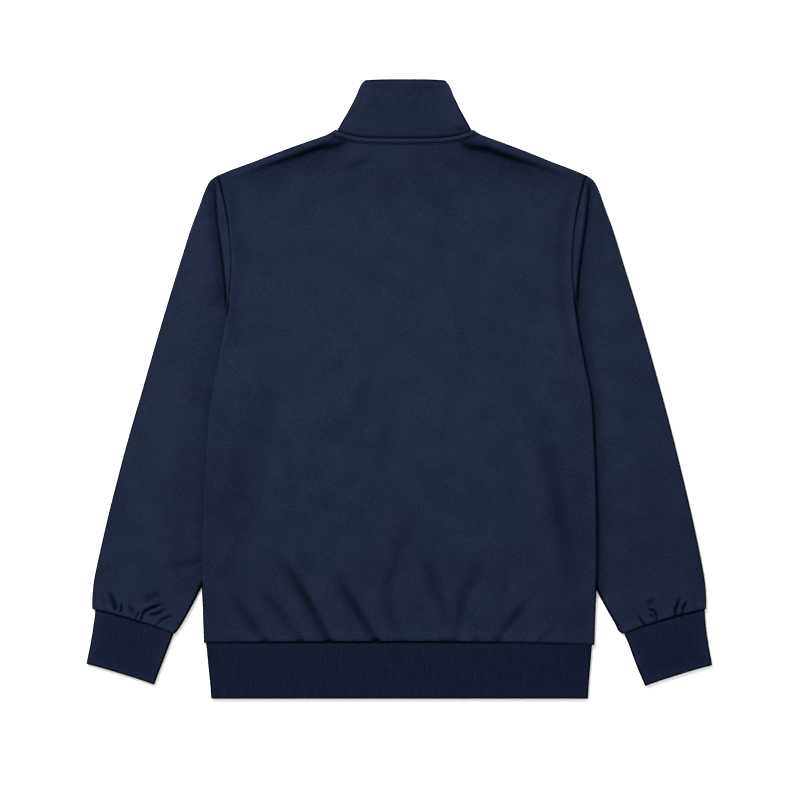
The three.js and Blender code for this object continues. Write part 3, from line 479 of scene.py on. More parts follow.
def shoulder_fold(x, ax, y):
    """Height and furrow of the fold along each shoulder: a rim, a bell 5 mm below the edge, and below it
    a hollow, steep above and long below, whose bottom bends down towards the neck. It comes in beside
    the neck, fades towards the tip and is stronger on the right. The furrow paints shade along the
    hollow and a highlight on the rim."""
    far, right, edge = np.abs(x), ax > 0, shoulder_gap(x, y)
    core = 11.0 + 5 * smooth((108 - far) / 30) + np.where(right, 1.0, -0.5)
    core = core - np.where(right, 4.5, 2.0) * smooth((far - 115) / 80)
    out = smooth((far - 62) / 22) * smooth((230 - far) / 90)
    strong = np.where(right, 1.08, 0.92)
    off = edge - core
    hollow = bell(np.minimum(off - 4, 0) / 5.0) * bell(np.maximum(off - 4, 0) / 34.0)
    rise = out * (2.2 * bell((edge - 5.0) / 4.5) - 1.4 * strong * hollow)
    deep = smooth((190 - far) / 105)
    wide = mix(0.75, 1.0, deep)
    line = bell(np.minimum(off, 0) / (3.4 * wide)) * bell(np.maximum(off, 0) / (4.4 * wide))
    furrow = out * strong * (mix(0.38, 1.0, deep) * line + 0.24 * bell((off - 9) / 13.0))
    return rise, furrow - out * 0.15 * bell((edge - 4.5) / 2.5)


def hem_puff(x, ax, y):
    """Height and furrow of the puff above the hem seam, a bell 6.5 mm above it, drawn in at the nicks.
    The furrow is painted shade at the nicks, less a painted highlight on the puff between them.
    """
    above = y - BAND_Y + sag(x)
    drawn = sum(d * bell((ax - cx) / w) for cx, w, d in HEM_NICKS)
    rise = 1.1 * bell((above - 6.5) / 6.5) - 1.1 * drawn * bell(above / 8.0)
    puffed = (1 - np.minimum(drawn, 1)) * bell((above - 4.5) / 2.5)
    return rise, 0.65 * drawn * bell(above / 4.0) - 0.18 * puffed


def neck_groove(x, y):
    """Height and furrow below the neck seam: a soft ridge, a bell 3.7 mm below it, and then the narrow
    groove of the topstitching. The furrow paints shade in the groove, a little wider towards both
    ends, and a highlight on the ridge."""
    gap, near = neck_gap(x, y), smooth((93 - np.abs(x)) / 3)
    ends = smooth((np.abs(x) - 30) / 50)
    rise = 0.6 * bell((gap - 3.7) / 2.3) - 1.0 * bell((gap - STITCH_DOWN) / 1.1)
    lit = (0.1 + 0.25 * ends) * bell((gap - 3.9) / 1.8)
    return near * rise, near * (1.1 * bell((gap - STITCH_DOWN) / (1.25 + 0.3 * ends)) - lit)


def back_height(x, y, folds):
    """Height of the back and its painted shade: its level, raised a little by what lies under it, plus
    creases, a soft trough beside each armhole and down each side, the shoulder folds, the puff above
    the hem seam, a press line over the zip, the neck's groove, and gentle waves."""
    far, ax = np.abs(x), x + lean(y)
    rise, furrow = creased(BACK_CREASES, ax, y)
    side = body_half(np.clip(y, BAND_Y, TIP_Y)) - far
    beside = smooth((y - 20) / 60) * smooth((252 - y) / 25)
    rise += beside * (0.5 * bell((side - 3.5) / 3.0) - 1.2 * bell((side - 13) / 7.0))
    rise += smooth((-20 - y) / 80) * (0.4 * bell((side - 4) / 3.0) - 0.6 * bell((side - 14) / 8.0))
    # Painted shade in the trough beside each armhole, and a painted highlight along the side edge.
    furrow += beside * (0.16 * bell((side - 14) / 8) - 0.08 * bell((side - 2.5) / 2))
    for form in (shoulder_fold, hem_puff):
        form_rise, form_furrow = form(x, ax, y)
        rise += form_rise
        furrow += form_furrow
    rise += waves(x, y, 3, 90, 0.3) + waves(x, y, 5, 34, 0.08)
    rise += 0.22 * bell((ax - ZIP_X) / 2.5) * smooth((75 - y) / 60) * smooth((y + 290) / 60)
    groove, groove_furrow = neck_groove(x, y)
    # Painted shade also darkens the cloth towards the shoulders and the neck.
    furrow += groove_furrow + 0.13 * smooth((y - 205) / 60) + 0.06 * smooth((y - 90) / 80)
    crown = 1.5 * (1 - smooth((far - 12) / 60)) * smooth((y - 225) / 45)
    z = LAY + 0.6 + 0.35 * lift(x, y) + crown + folds * rise + groove
    # Painted shade: the furrows darken the colour, more towards the hem and towards the lower sides.
    shade = (1 - FURROW_DARK * np.clip(furrow, -0.4, 1.1)) * dusk(y)
    shade *= 1 - 0.10 * smooth((far - 160) / 60) * smooth((40 - y) / 160)
    return np.maximum(z, front_z(x, y) + 2 * CLOTH + SEAM + 0.6), shade


def back_grid(folds):
    """Back panel. A column is a share of the half width at its row, with close columns at the sides, and
    rows bend up towards the shoulder line as they near it. Sides and shoulders roll down along a
    quarter circle to meet the fronts; the armhole, neck and hem edges dip into their seams."""
    strip, end = 6.0, 4.5
    edge, v_edge = edge_steps(strip, 8), edge_steps(end, 7)
    foot = BAND_Y + SEAM
    y0 = np.concatenate([
        foot + v_edge, np.linspace(foot + end, foot + 16, 10)[:-1], np.linspace(foot + 16, TIP_Y - 18, 204),
        np.linspace(TIP_Y - 18, TIP_Y - end, 17)[1:], (TIP_Y - v_edge)[::-1]])
    y = np.repeat(y0[:, None], 2 * len(edge) + 157, 1)
    half = body_half(y[:, 0])[:, None]
    inner = np.linspace(-1, 1, 157)[None] * (half - strip)
    x = np.concatenate([-(half - edge), inner, (half - edge)[:, ::-1]], 1)
    top = y + row_bend(y) * (back_top(x) - TIP_Y) - sag(x) * smooth((BAND_Y + 70 - y) / 70)
    side = half - np.abs(x)
    above_pit, near_tip = smooth((y - PIT_Y - 14) / 18), smooth((y - TIP_Y + 14) / 12)
    turn = 1 - above_pit * (1 - near_tip)
    shoulder = smooth((np.abs(x) - NECK_HALF + 2) / 8)
    drop = np.maximum(turn * quarter(side, EDGE_ROLL), shoulder * quarter((TIP_Y - y) * 1.1, EDGE_ROLL))
    low = front_z(x, top) + CLOTH + SEAM + 0.35
    height, shade = back_height(x, top, folds)
    z = mix(height, low, drop)
    z -= (1 - turn) * 2.2 * quarter(side, 2.6)
    z -= (1 - shoulder) * 2.0 * quarter(TIP_Y - y, 2.6)
    z -= (1 - drop) * 2.7 * quarter(y - foot, 3.2)
    # Painted shade: a dark rim along the rolled sides and shoulders, weaker where the body lies on a sleeve, and
    # dark lines along the armhole, neck and hem seams.
    on_sleeve = smooth((y - HIDDEN_FOOT + 4) / 12) * smooth((PIT_Y + 10 - y) / 12)
    calm = mix(1, np.where(x < 0, 0.15, 0.6), on_sleeve) * (1 - 0.7 * near_tip)
    rolled = np.maximum(calm * turn * outline(side), shoulder * outline(TIP_Y - y))
    shade = shade * mix(1, RIM_SHADE, rolled) * mix(1, 0.15, (1 - turn) * bell(side))
    shade = shade * mix(1, 0.15, (1 - shoulder) * bell(TIP_Y - y)) * mix(1, 0.12, bell(y - foot))
    points = np.stack([x + lean(top), top, z], -1)
    return points, np.stack([x, top], -1), shade


def front_grid(side):
    """Front panel: from the zip edge to the side, its underside on what lies below it."""
    y0 = np.linspace(BAND_Y + SEAM, TIP_Y, 130)
    share = np.concatenate([np.linspace(0, 0.72, 50), np.linspace(0.72, 1, 34)[1:]])
    y = np.repeat(y0[:, None], len(share), 1)
    zip_edge = ZIP_X + side * ZIP_GAP
    x = mix(zip_edge, side * body_half(y), share[None])
    top = y + row_bend(y) * (front_top(x) - TIP_Y)
    points = np.stack([x + lean(top), top, front_z(x, top)], -1)
    return points, np.stack([x, top], -1), 1.0


def sleeve_place(t, f, side):
    """Place of the point at share t along the sleeve and share f across it, from the outer edge to the
    underarm edge: on the straight line between both, bowed out to the armhole's curve at the top, and
    outside the body's seam, except at the pit, where the sleeve slips in under the body."""
    ox, oy, ix, iy = [curve(t) for curve in sleeve_edges]
    tip = 1 - smooth(t / 0.1)
    ox = ox + 1.1 * smooth(t / 0.03) * (1 - smooth((t - 0.92) / 0.08))
    oy = oy + 2.9 * tip
    ix = ix + (left_shift if side < 0 else right_shift)(t)
    slip = 6.0 * (1 - smooth(t / 0.09))
    ix, iy = ix - slip, iy - 0.5 * slip
    y = mix(oy, iy, f)
    straight = mix(ox, ix, f)
    armhole_y = np.clip(mix(TIP_Y, PIT_Y, f), PIT_Y, TIP_Y)
    curve = (body_half(armhole_y) + SEAM - mix(SLEEVE[0, 1], SLEEVE[0, 3], f)) * smooth(f / 0.06)
    bowed = straight + (1 - smooth(t / 0.3)) * curve
    seam = body_half(np.clip(y, PIT_Y, TIP_Y)) + SEAM + 60 * t
    seam = seam - 0.03 * np.maximum(0, PIT_Y + 27 - y) ** 2
    return np.maximum(bowed, seam), y


def sleeve_top(x, y):
    """Height of the sleeve's upper layer without creases, and its painted shade: low where the body covers it, up
    to its full height beside the armhole, outside the body's side and below its hidden part.
    tuck runs beside the armhole, steep towards the body and gentle towards the sleeve."""
    far = x - body_half(np.clip(y, BAND_Y, TIP_Y))
    open_ = smooth((y - PIT_Y - 14) / 34)
    covered = 1 - smooth((HIDDEN_FOOT - 7 - y) / 24)
    height = mix(SLEEVE_Z, mix(UNDER_Z, SLEEVE_Z, smooth((far - 8) / 34)), covered * (1 - open_))
    long = smooth((y - 92) / 30) * smooth((258 - y) / 10)
    away = x - tuck_x(y)
    tuck = long * np.where(away < 0, bell(away / 1.5), bell(away / 8.0))
    strip = bell((away + 4.0) / 1.9) * long
    # Painted shade in the tuck and beside the body's edge where it covers the sleeve, less a painted highlight on
    # the strip beside the tuck.
    furrow = long * (1.12 * bell(away / 1.6) + 0.40 * bell(np.maximum(away, 0) / 12.0) * (away > 0))
    furrow = furrow - 0.06 * strip + 0.30 * (1 - open_) * covered * bell(far / 12.0)
    return height - 2.4 * tuck + 0.6 * strip, furrow


def sleeve_grid(side, folds):
    """Sleeve: a flattened tube. Each section runs over the top from the outer edge to the underarm edge
    and back underneath; its edges are rolled along quarter circles. The upper layer carries the
    creases, slips under the body at the armhole and dips at the cuff. The under layer is raised a
    little where it is folded in at the pit."""
    creases = LEFT_SLEEVE_CREASES if side < 0 else RIGHT_SLEEVE_CREASES
    t = np.concatenate([
        [0, 0.0008, 0.0018, 0.003, 0.0045], np.linspace(0.0065, 0.9, 150), np.linspace(0.9, 0.987, 52)[1:],
        1 - np.array([0.0105, 0.0085, 0.0065, 0.0048, 0.0032, 0.0018, 0.0008, 0])])[:, None]
    ox, oy, ix, iy = [curve(t) for curve in sleeve_edges]
    length = np.hypot(ix - ox, iy - oy)
    inner_roll = sleeve_top(ix, iy)[0] / 2
    outer_steps = np.repeat(edge_steps(1.0, 6)[None] * SLEEVE_EDGE_R, len(t), 0)
    inner_steps = (edge_steps(1.0, 6)[None] * inner_roll)[:, ::-1]
    over, under = [np.concatenate([
        outer_steps[:, skip:], mix(SLEEVE_EDGE_R, length - inner_roll, np.linspace(0, 1, count)[None]),
        length - inner_steps[:, :6 - skip]], 1) for skip, count in ((0, 108), (1, 22))]
    under = under[:, ::-1]
    along, f, g = t * SLEEVE_LONG, over / length, under / length

    def rounded(a, level):
        """Height at the distance a across: level, and along each edge a quarter circle down to it."""
        outer = a < length / 2
        e = np.where(outer, a / SLEEVE_EDGE_R, (length - a) / inner_roll)
        circle = np.sqrt(np.maximum(0, 1 - (1 - np.minimum(e, 1)) ** 2))
        return mix(np.where(outer, SLEEVE_EDGE_R, inner_roll), level, circle)

    x, y = sleeve_place(t, f, side)
    x = x - 1.6 * (1 - smooth(along / 2.2)) * smooth((y - PIT_Y - 4) / 8)
    y = y + SEAM_ARC * np.sin(math.pi * f) * smooth((t - 0.9) / 0.1)
    ax = side * x + lean(y)
    level, furrow = sleeve_top(x, y)
    rise, crease = creased(creases, ax, y)
    free = smooth((x - body_half(np.clip(y, BAND_Y, TIP_Y)) - 6) / 30)
    end = SLEEVE_LONG - along
    rise += free * (waves(x, y, 11 + int(side), 80, 0.35) + waves(x, y, 17 + int(side), 30, 0.07))
    rise += free * 0.9 * bell((f - 0.42) / 0.3) * smooth((along - 60) / 80) + 1.2 * bell((end - 6) / 6.5)
    z = level + folds * rise - 2.4 * quarter(end, 3.6)
    z -= 2.3 * quarter(along, 2.6) * smooth((y - PIT_Y - 6) / 12)
    ux, uy = sleeve_place(t, g, side)
    clear = 1.25 * (1 - smooth((t - 0.24) / 0.06)) * smooth((g - 0.6) / 0.2)
    points = np.concatenate([
        np.stack([ax, y, rounded(over, np.maximum(z, 2 * CLOTH + 0.2))], -1),
        np.stack([side * ux + lean(uy), uy, rounded(under, clear)], -1)], 1)
    # Painted shade: the furrows, a dark rim along both rolled edges, darker towards the hem and more on the right
    # sleeve, dark lines along the armhole and cuff seams, a painted highlight on the puff above the cuff, and a
    # darker hidden under layer.
    rolled = outline(np.minimum(over, (length - over) * mix(0.5, 0.85, smooth((t - 0.86) / 0.1))))
    shade = (1 - FURROW_DARK * np.clip(furrow + crease, -0.2, 1.12)) * mix(1, RIM_SHADE, rolled)
    shade = shade * dusk(y) * (0.99 if side < 0 else 0.95)
    armhole_seam_shade = bell(along / 2.0) * smooth((y - PIT_Y - 4) / 10) * (1 - 0.7 * smooth((y - 254) / 8))
    cuff_seam_shade = (0.35 + 0.65 * bell((f - 0.5) / 0.3)) * bell(end / 1.2)
    shade = shade * mix(1, 0.08, armhole_seam_shade) * mix(1, 0.15, cuff_seam_shade) * (1 + 0.12 * bell((end - 6.5) / 4))
    shade = np.concatenate([shade, np.full(under.shape, TUBE_UNDER)], 1)
    across = np.concatenate([over, 2 * length - under, 2 * length], 1)
    return points, np.stack([side * across, np.repeat(-along, across.shape[1], 1)], -1), shade


def cuff_grid(side):
    """Cuff: a flattened tube of doubled rib between two slanting edges, rolled along half circles, with
    its seam edge dipped and its folded end rounded."""
    left, fine, roll = side < 0, edge_steps(1.0, 6), CUFF_HEIGHT / 2
    s = np.concatenate([[-0.02], fine * 0.05, np.linspace(0.05, 0.97, 30), 1 - fine[::-1] * 0.03])[:, None]
    ox, oy, ix, iy = [curve(s) for curve in cuff_edges]
    length = np.hypot(ix - ox, iy - oy)
    steps = np.repeat(edge_steps(1.0, 7)[None] * roll, len(s), 0)
    over, under = [np.concatenate([
        steps[:, skip:], mix(roll, length - roll, np.linspace(0, 1, count)[None]),
        length - steps[:, skip:][:, ::-1]], 1) for skip, count in ((0, 84), (1, 30))]
    under = under[:, ::-1]

    def rounded(a, level):
        """Height at the distance a across: level, and along both edges a half circle down to it."""
        e = np.minimum(a, length - a) / roll
        return mix(roll, level, np.sqrt(np.maximum(0, 1 - (1 - np.minimum(e, 1)) ** 2)))

    to_end, on, at_seam = (1 - s) * CUFF_LONG, np.clip(s, 0, 1), 1 - smooth(s / 0.3)
    dip = 2.3 * quarter(np.maximum(s, 0) * CUFF_LONG, 2.6) + 1.6 * quarter(to_end, 2.0) + (s < 0) * 0.6
    high = CUFF_HEIGHT - dip + 0.3 * np.sin(math.pi * over / length) * np.sin(math.pi * s)
    z = np.concatenate([rounded(over, high), rounded(under, 0.0)], 1)
    f = np.concatenate([over, under], 1) / length
    outer = 0.8 + (1.2 if left else 0) * s
    inner = (-1.0 if left else 0.5) * np.sin(math.pi * on) + (0.9 if left else 2.4) * at_seam
    x = mix(ox + outer, ix - inner, f) - 6 * np.minimum(s, 0)
    x = x - (1.9 if left else 1.0) * at_seam * np.maximum(0, 1 - 2 * f)
    y = mix(oy, iy, f) - CUFF_LONG * np.minimum(s, 0)
    y += ((0.9 if left else -0.7) - 1.1 * np.abs(2 * f - 1) ** 3) * on
    y += SEAM_ARC * np.sin(math.pi * f) * (1 - smooth(s / 0.6))
    # Painted shade: dark along the seam, most in its middle, a dark rim along the end and both sides, a painted
    # highlight near these edges, and a darker hidden under layer. The whole cuff is made a little lighter, and a
    # little darker in its middle.
    inset = np.minimum(over, length - over)
    shade = mix(1, 0.1 + 0.6 * (2 * over / length - 1) ** 2, bell(s * CUFF_LONG / 1.5))
    shade = shade * mix(1, RIM_SHADE, outline(to_end)) * mix(1, RIM_SHADE, outline(inset))
    shade = shade * (1 + 0.28 * bell(np.minimum(inset, to_end) / 9))
    shade = np.concatenate([shade, np.full(under.shape, TUBE_UNDER)], 1)
    shade = shade * 1.12 * (1 - 0.08 * bell((f - 0.5) / 0.3) * np.sin(math.pi * on))
    across = np.concatenate([over, 2 * length - under, 2 * length], 1)
    uv = np.stack([across * CUFF_WIDE / length, np.repeat(-s * CUFF_LONG, across.shape[1], 1)], -1)
    return np.stack([side * x, y, z], -1), uv, shade


def band_steps(half, height, count_over, count_under):
    """Steps round an open band from the zip under to the left, over the top and back under to the zip.
    Gives the place across and the rise from -1, the lower layer, to 1, the upper one."""
    roll = height / 2
    flat = half - roll
    turn = np.linspace(-90, 90, 9)[1:-1] * math.pi / 180
    left = ZIP_X - ZIP_GAP
    right = ZIP_X + ZIP_GAP
    under = np.linspace(0, 1, count_under)
    over = np.linspace(-1, 1, count_over)
    x = np.concatenate([
        mix(left, -flat, under[None]), -flat - roll * np.cos(turn)[None], over[None] * flat,
        flat + roll * np.cos(turn[::-1])[None], mix(right, flat, under[::-1][None])], 1)
    rise = np.concatenate([
        -np.ones(count_under), np.sin(turn), np.ones(count_over), np.sin(turn[::-1]), -np.ones(count_under)])
    return x, rise


def band_z(rise, height, high):
    """Height in an open band: from the middle of its edge up to high, or down to the surface."""
    middle = height / 2
    return np.where(rise > 0, mix(middle, high, np.maximum(rise, 0)), mix(middle, 0.0, -np.minimum(rise, 0)))


def run(steps):
    """The length gone along each row, 0 at its first point."""
    return np.concatenate([np.zeros((len(steps), 1)), np.cumsum(steps, 1)], 1)


def hem_grid():
    """Hem band: an open band of doubled rib, its seam edge dipped and its folded foot rounded."""
    v = edge_steps(1.0, 6)
    seam = BAND_Y + 1.0
    y = np.concatenate([seam - v * 3.6, np.linspace(seam - 3.6, HEM_Y + 2.2, 30), HEM_Y + 2.2 * v[::-1]])[:, None]
    x, rise = band_steps(band_half(y), BAND_HEIGHT, 190, 60)
    dip = 2.7 * quarter(seam - y, 3.2) + 1.6 * quarter(y - HEM_Y, 2.0)
    z = band_z(rise, BAND_HEIGHT, BAND_HEIGHT - dip + waves(x, y, 8, 60, 0.08))
    y = np.repeat(y, x.shape[1], 1)
    far, up, down = np.abs(x), y - HEM_Y, seam - y
    # Painted shade: a dark line along the seam, a dark rim along the foot and both ends, a painted highlight just
    # above the foot, and darker near both ends below the seam; the hidden lower layer is kept no darker than
    # BAND_UNDER.
    shade = mix(1, 0.08, bell((down - 1.3) / 1.5)) * mix(1, RIM_SHADE, outline(up))
    shade = shade * mix(1, RIM_SHADE, outline(band_half(y) - far)) * (1 + 0.15 * bell((up - 2) / 4))
    shade = shade * (1 - 0.12 * smooth((far - 205) / 25) * bell((down - 12) / 14))
    shade = np.where(rise > 0, shade, np.maximum(shade, BAND_UNDER))
    across = run(np.hypot(np.diff(x, axis=1), np.diff(z, axis=1)))
    across = (across / across[:, -1:] - 0.5) * BAND_ROUND
    drawn = y - sag(x) * smooth(up / (seam - HEM_Y))
    return np.stack([x + lean(y), y, z], -1), np.stack([across, drawn], -1), shade


def collar_grid(folds):
    """Stand collar: an open band whose back half stands towards +Y and whose front halves dip to the
    zip. Its seam edge is dipped and its folded top is rounded."""
    v = edge_steps(1.0, 6)
    s = np.concatenate([v * 0.035, np.linspace(0.035, 0.97, 46), 1 - v[::-1] * 0.03])[:, None]
    half, side_y, back_y, front_y, height, crown = [row(s) for row in collar_rows]
    half = half + collar_wider(s)
    x, rise = band_steps(half, height, 110, 44)
    is_back, up, down = rise > 0, s * COLLAR_LONG, (1 - s) * COLLAR_LONG
    q = np.minimum(np.abs(x) / half, 1)
    y = mix(np.where(is_back, back_y, front_y), side_y, np.where(is_back, back_neck(q), front_neck(q)))
    y = y + (1.4 + 0.4 * q ** 4 - 0.7 * q ** 40) * smooth((s - 0.6) / 0.4)
    y = y + np.where(is_back, -1.3 * (1 - smooth(up / 2.4)), SEAM * (1 - smooth(s / 0.1)))
    ride = neck_lift(x, np.minimum(y, 300)) * (1 - smooth((q - 0.5) / 0.4))
    dip = 2.4 * quarter(up, 3.2) + 1.3 * quarter(down, 1.8)
    creases, furrow = creased(COLLAR_CREASES, x + lean(y), y)
    high = height - dip + crown * (1 - q * q) + np.where(is_back, folds * creases, 0)
    high = high + folds * (0.5 * bell((down - 4.5) / 3.0) - 0.35 * bell((down - 12) / 5.0))
    z = band_z(rise, height, high) + np.where(is_back, 0, ride)
    inset = half - np.abs(x)
    # Painted shade: the creases, a dark line along the seam, a dark rim along the top and both sides, and the whole
    # collar darker; painted highlights towards its sides, just below its top and up each side near the top. The
    # hidden front halves are kept no darker than BAND_UNDER.
    shade = (1 - 0.9 * furrow) * mix(1, 0.08, bell(up / 1.8)) * mix(1, RIM_SHADE, outline(down))
    shade = shade * mix(1, RIM_SHADE, outline(inset))
    shade = shade * (0.78 + 0.14 * smooth((q - 0.5) / 0.5) + 0.12 * bell((down - 4) / 3)
                     + 0.3 * bell((inset - 2) / 3) * smooth((up - 24) / 40))
    shade = np.where(is_back, shade, np.maximum(shade, BAND_UNDER))
    uv = np.stack([run(np.abs(np.diff(x, axis=1))), np.repeat(up, x.shape[1], 1)], -1)
    return np.stack([x + lean(y), y, z], -1), uv, shade


# Small repeated parts: topstitching and zip ------------------------------------------------------


def ball_end(length, radius, sides=6, rings=5):
    """Template of a stitch: a grain along x whose radius is the square root of one less the square of the
    place along it, with both ends closed to a point."""
    a = np.linspace(-1, 1, rings + 2)[1:-1]
    turn = np.arange(sides) * 2 * math.pi / sides
    r = radius * np.sqrt(1 - a * a)
    ring = np.stack([np.repeat(a * length / 2, sides), np.outer(r, np.cos(turn)).ravel(),
                     np.outer(r, np.sin(turn)).ravel()], -1)
    verts = np.concatenate([ring, [(-length / 2, 0, 0), (length / 2, 0, 0)]])
    i, far = np.arange(sides), (rings - 1) * sides
    j, first = (i + 1) % sides, np.full(sides, rings * sides)
    fans = [np.stack([first, j, i], -1), np.stack([far + i, far + j, first + 1], -1)]
    return verts, [*grid_quads(rings, sides).tolist(), *fans[0].tolist(), *fans[1].tolist()]


def tooth_form():
    """Template of a moulded zip tooth, along x: a foot that grips the tape, a neck and a wider head."""
    edge = np.array([(0, 0.75), (1.0, 0.75), (1.35, 0.45), (1.9, 0.45), (2.2, 0.85), (2.75, 0.85), (2.95, 0.5)])
    loop = np.concatenate([edge, edge[::-1] * (1, -1)])
    n = len(loop)
    inner = loop * (0.93, 0.8) + (0.1, 0)
    verts = np.concatenate([np.c_[inner, np.full(n, -0.8)], np.c_[loop, np.full(n, -0.5)],
                            np.c_[loop, np.full(n, 0.5)], np.c_[inner, np.full(n, 0.8)]])
    verts[:, 0] -= 2.4
    i, back = np.arange(n // 2 - 1), [0, 3, 2, 1]
    foot = np.stack([i, i + 1, n - 2 - i, n - 1 - i], -1)
    return verts, np.concatenate([grid_quads(4, n)[:, back], foot, foot[:, back] + 3 * n]).tolist()


def repeated(name, template, places, along, material):
    """One mesh of many copies of a template, each moved to its place and turned flat so that its x runs
    along its direction."""
    verts, faces = template
    along = along / np.linalg.norm(along, axis=1, keepdims=True)
    across = np.stack([-along[:, 1], along[:, 0]], -1)
    count = len(places)
    points = np.empty((count, len(verts), 3))
    points[..., 0] = places[:, None, 0] + verts[:, 0] * along[:, None, 0] + verts[:, 1] * across[:, None, 0]
    points[..., 1] = places[:, None, 1] + verts[:, 0] * along[:, None, 1] + verts[:, 1] * across[:, None, 1]
    points[..., 2] = places[:, None, 2] + verts[:, 2]
    first = (np.arange(count) * len(verts))[:, None]
    all_faces = sum(((first + np.asarray(face)).tolist() for face in faces), [])
    mesh = bpy.data.meshes.new(name)
    mesh.from_pydata((points.reshape(-1, 3) * MM).tolist(), [], all_faces)
    mesh.validate()
    return linked(name, mesh, material)


def stitch_line(pitch, folds):
    """Places and directions of the neck's topstitches: even steps along a curve that runs below the neck
    seam, in the groove of the back."""
    x = np.linspace(-89, 89, 1200)
    seam, slope = neck_seam(x)
    long = np.sqrt(1 + slope * slope)
    px, py = x + STITCH_DOWN * np.sign(x) * slope / long, seam - STITCH_DOWN / long
    inside = py < shoulder_line(np.abs(px)) - 2.5
    px, py = px[inside], py[inside]
    gone = np.concatenate([[0], np.cumsum(np.hypot(np.diff(px), np.diff(py)))])
    at = np.arange(pitch / 2, gone[-1], pitch)
    sx, sy = np.interp(at, gone, px), np.interp(at, gone, py)
    dx, dy = [np.interp(at + 0.4, gone, p) - np.interp(at - 0.4, gone, p) for p in (px, py)]
    height, _ = back_height(sx, sy, folds)
    return np.stack([sx + lean(sy), sy, height + 0.12], -1), np.stack([dx, dy], -1)


def tape_z(y):
    """Height of the underside of the zip's tapes."""
    return CLOTH + SEAM + neck_rise(y)


def tape_grid(side):
    """Zip tape: a flat strip from beside the teeth outwards, narrow where the collar and the hem band
    hold it, and following the rise towards the neck."""
    y = np.concatenate([np.linspace(HEM_Y, BAND_Y + 2.8, 24), np.linspace(BAND_Y + 3.2, FRONT_NECK_Y - 3.2, 150),
                        np.linspace(FRONT_NECK_Y - 2.8, TAPE_TOP_Y, 24)])[:, None]
    free = (y > BAND_Y + 3) & (y < FRONT_NECK_Y - 3)
    outer = np.where(free, TAPE_OUTER, TAPE_IN_BAND)
    share = np.linspace(0, 1, 9)[None]
    x = ZIP_X + side * mix(TAPE_INNER, outer, share)
    yy = np.repeat(y, 9, 1)
    points = np.stack([x + lean(yy), yy, np.repeat(tape_z(y) + TAPE, 9, 1)], -1)
    return points, np.stack([x, yy], -1), 1.0


def tooth_places(pitch):
    """Places and directions of the teeth: even steps up the zip, from the left and from the right in turn."""
    y = np.arange(CHAIN_FOOT_Y + 0.8, CHAIN_TOP_Y - 0.8, pitch / 2)
    side = np.where(np.arange(len(y)) % 2 == 0, 1.0, -1.0)
    places = np.stack([np.full(len(y), ZIP_X) + lean(y), y, tape_z(y) + TAPE / 2], -1)
    return places, np.stack([side, np.zeros(len(y))], -1)


# Materials -------------------------------------------------------------------------------------


class Nodes:
    """Short hand for building one material's nodes."""

    def __init__(self, name):
        self.material = bpy.data.materials.new(name)
        self.material.use_nodes = True
        self.tree = self.material.node_tree
        self.tree.nodes.clear()
        self.shader = self.add("ShaderNodeBsdfPrincipled")
        self.output = self.add("ShaderNodeOutputMaterial")
        self.join(self.shader, "BSDF", self.output, "Surface")

    def add(self, kind, **values):
        """A new node with its settings and the values of its sockets."""
        node = self.tree.nodes.new(kind)
        for key, value in values.items():
            if hasattr(node, key):
                setattr(node, key, value)
            else:
                node.inputs[key.replace("_", " ")].default_value = value
        return node

    def join(self, a, out, b, socket):
        """A link from an output of node a to a socket of node b."""
        self.tree.links.new(a.outputs[out], b.inputs[socket])


def rows_of_loops(nodes, uv, pitch, turned=False):
    """A wave of the given pitch in metres across the piece's cloth map."""
    wave = nodes.add("ShaderNodeTexWave", wave_type="BANDS", bands_direction="Y" if turned else "X",
                     wave_profile="SIN", Scale=WAVE_LONG / pitch)
    nodes.join(uv, "UV", wave, "Vector")
    return wave


def speckle(nodes, size, detail=2.0):
    """Object-space noise whose grains are about size metres."""
    where = nodes.add("ShaderNodeTexCoord")
    noise = nodes.add("ShaderNodeTexNoise", Scale=1.0 / size, Detail=detail, Roughness=0.6)
    nodes.join(where, "Object", noise, "Vector")
    return noise


def bumped(nodes, height, out, strength, distance, before=None):
    """A bump from a height, on top of the one before."""
    bump = nodes.add("ShaderNodeBump", Strength=strength, Distance=distance)
    nodes.join(height, out, bump, "Height")
    if before is not None:
        nodes.join(before, "Normal", bump, "Normal")
    return bump


def summed(nodes, a, weight, b, out):
    """a times a weight, plus b."""
    total = nodes.add("ShaderNodeMath", operation="MULTIPLY_ADD")
    total.inputs[1].default_value = weight
    nodes.join(a, "Fac", total, 0)
    nodes.join(b, out, total, 2)
    return total


def shaded(nodes, factor, out, colour, low, high):
    """A colour from low to high times the given one, by a factor."""
    ramp = nodes.add("ShaderNodeMix", data_type="RGBA")
    ramp.inputs[6].default_value = (*(c * low for c in colour), 1)
    ramp.inputs[7].default_value = (*(c * high for c in colour), 1)
    nodes.tree.links.new(factor.outputs[out], ramp.inputs[0])
    return ramp


def in_shade(nodes, colour):
    """The colour times the piece's painted shade."""
    tone = nodes.add("ShaderNodeAttribute", attribute_name="shade")
    both = nodes.add("ShaderNodeMix", data_type="RGBA", blend_type="MULTIPLY")
    both.inputs[0].default_value = 1.0
    nodes.tree.links.new(colour.outputs[2], both.inputs[6])
    nodes.tree.links.new(tone.outputs["Fac"], both.inputs[7])
    nodes.tree.links.new(both.outputs[2], nodes.shader.inputs["Base Color"])


def soft_finish(nodes, normal, roughness, sheen, spread):
    """A cloth's bump, its dull face without gloss and its bluish sheen."""
    nodes.join(normal, "Normal", nodes.shader, "Normal")
    for socket, value in (("Roughness", roughness), ("Specular IOR Level", 0.0), ("Sheen Weight", sheen),
                          ("Sheen Roughness", spread), ("Sheen Tint", (0.55, 0.65, 1.0, 1))):
        nodes.shader.inputs[socket].default_value = value
    return nodes.material


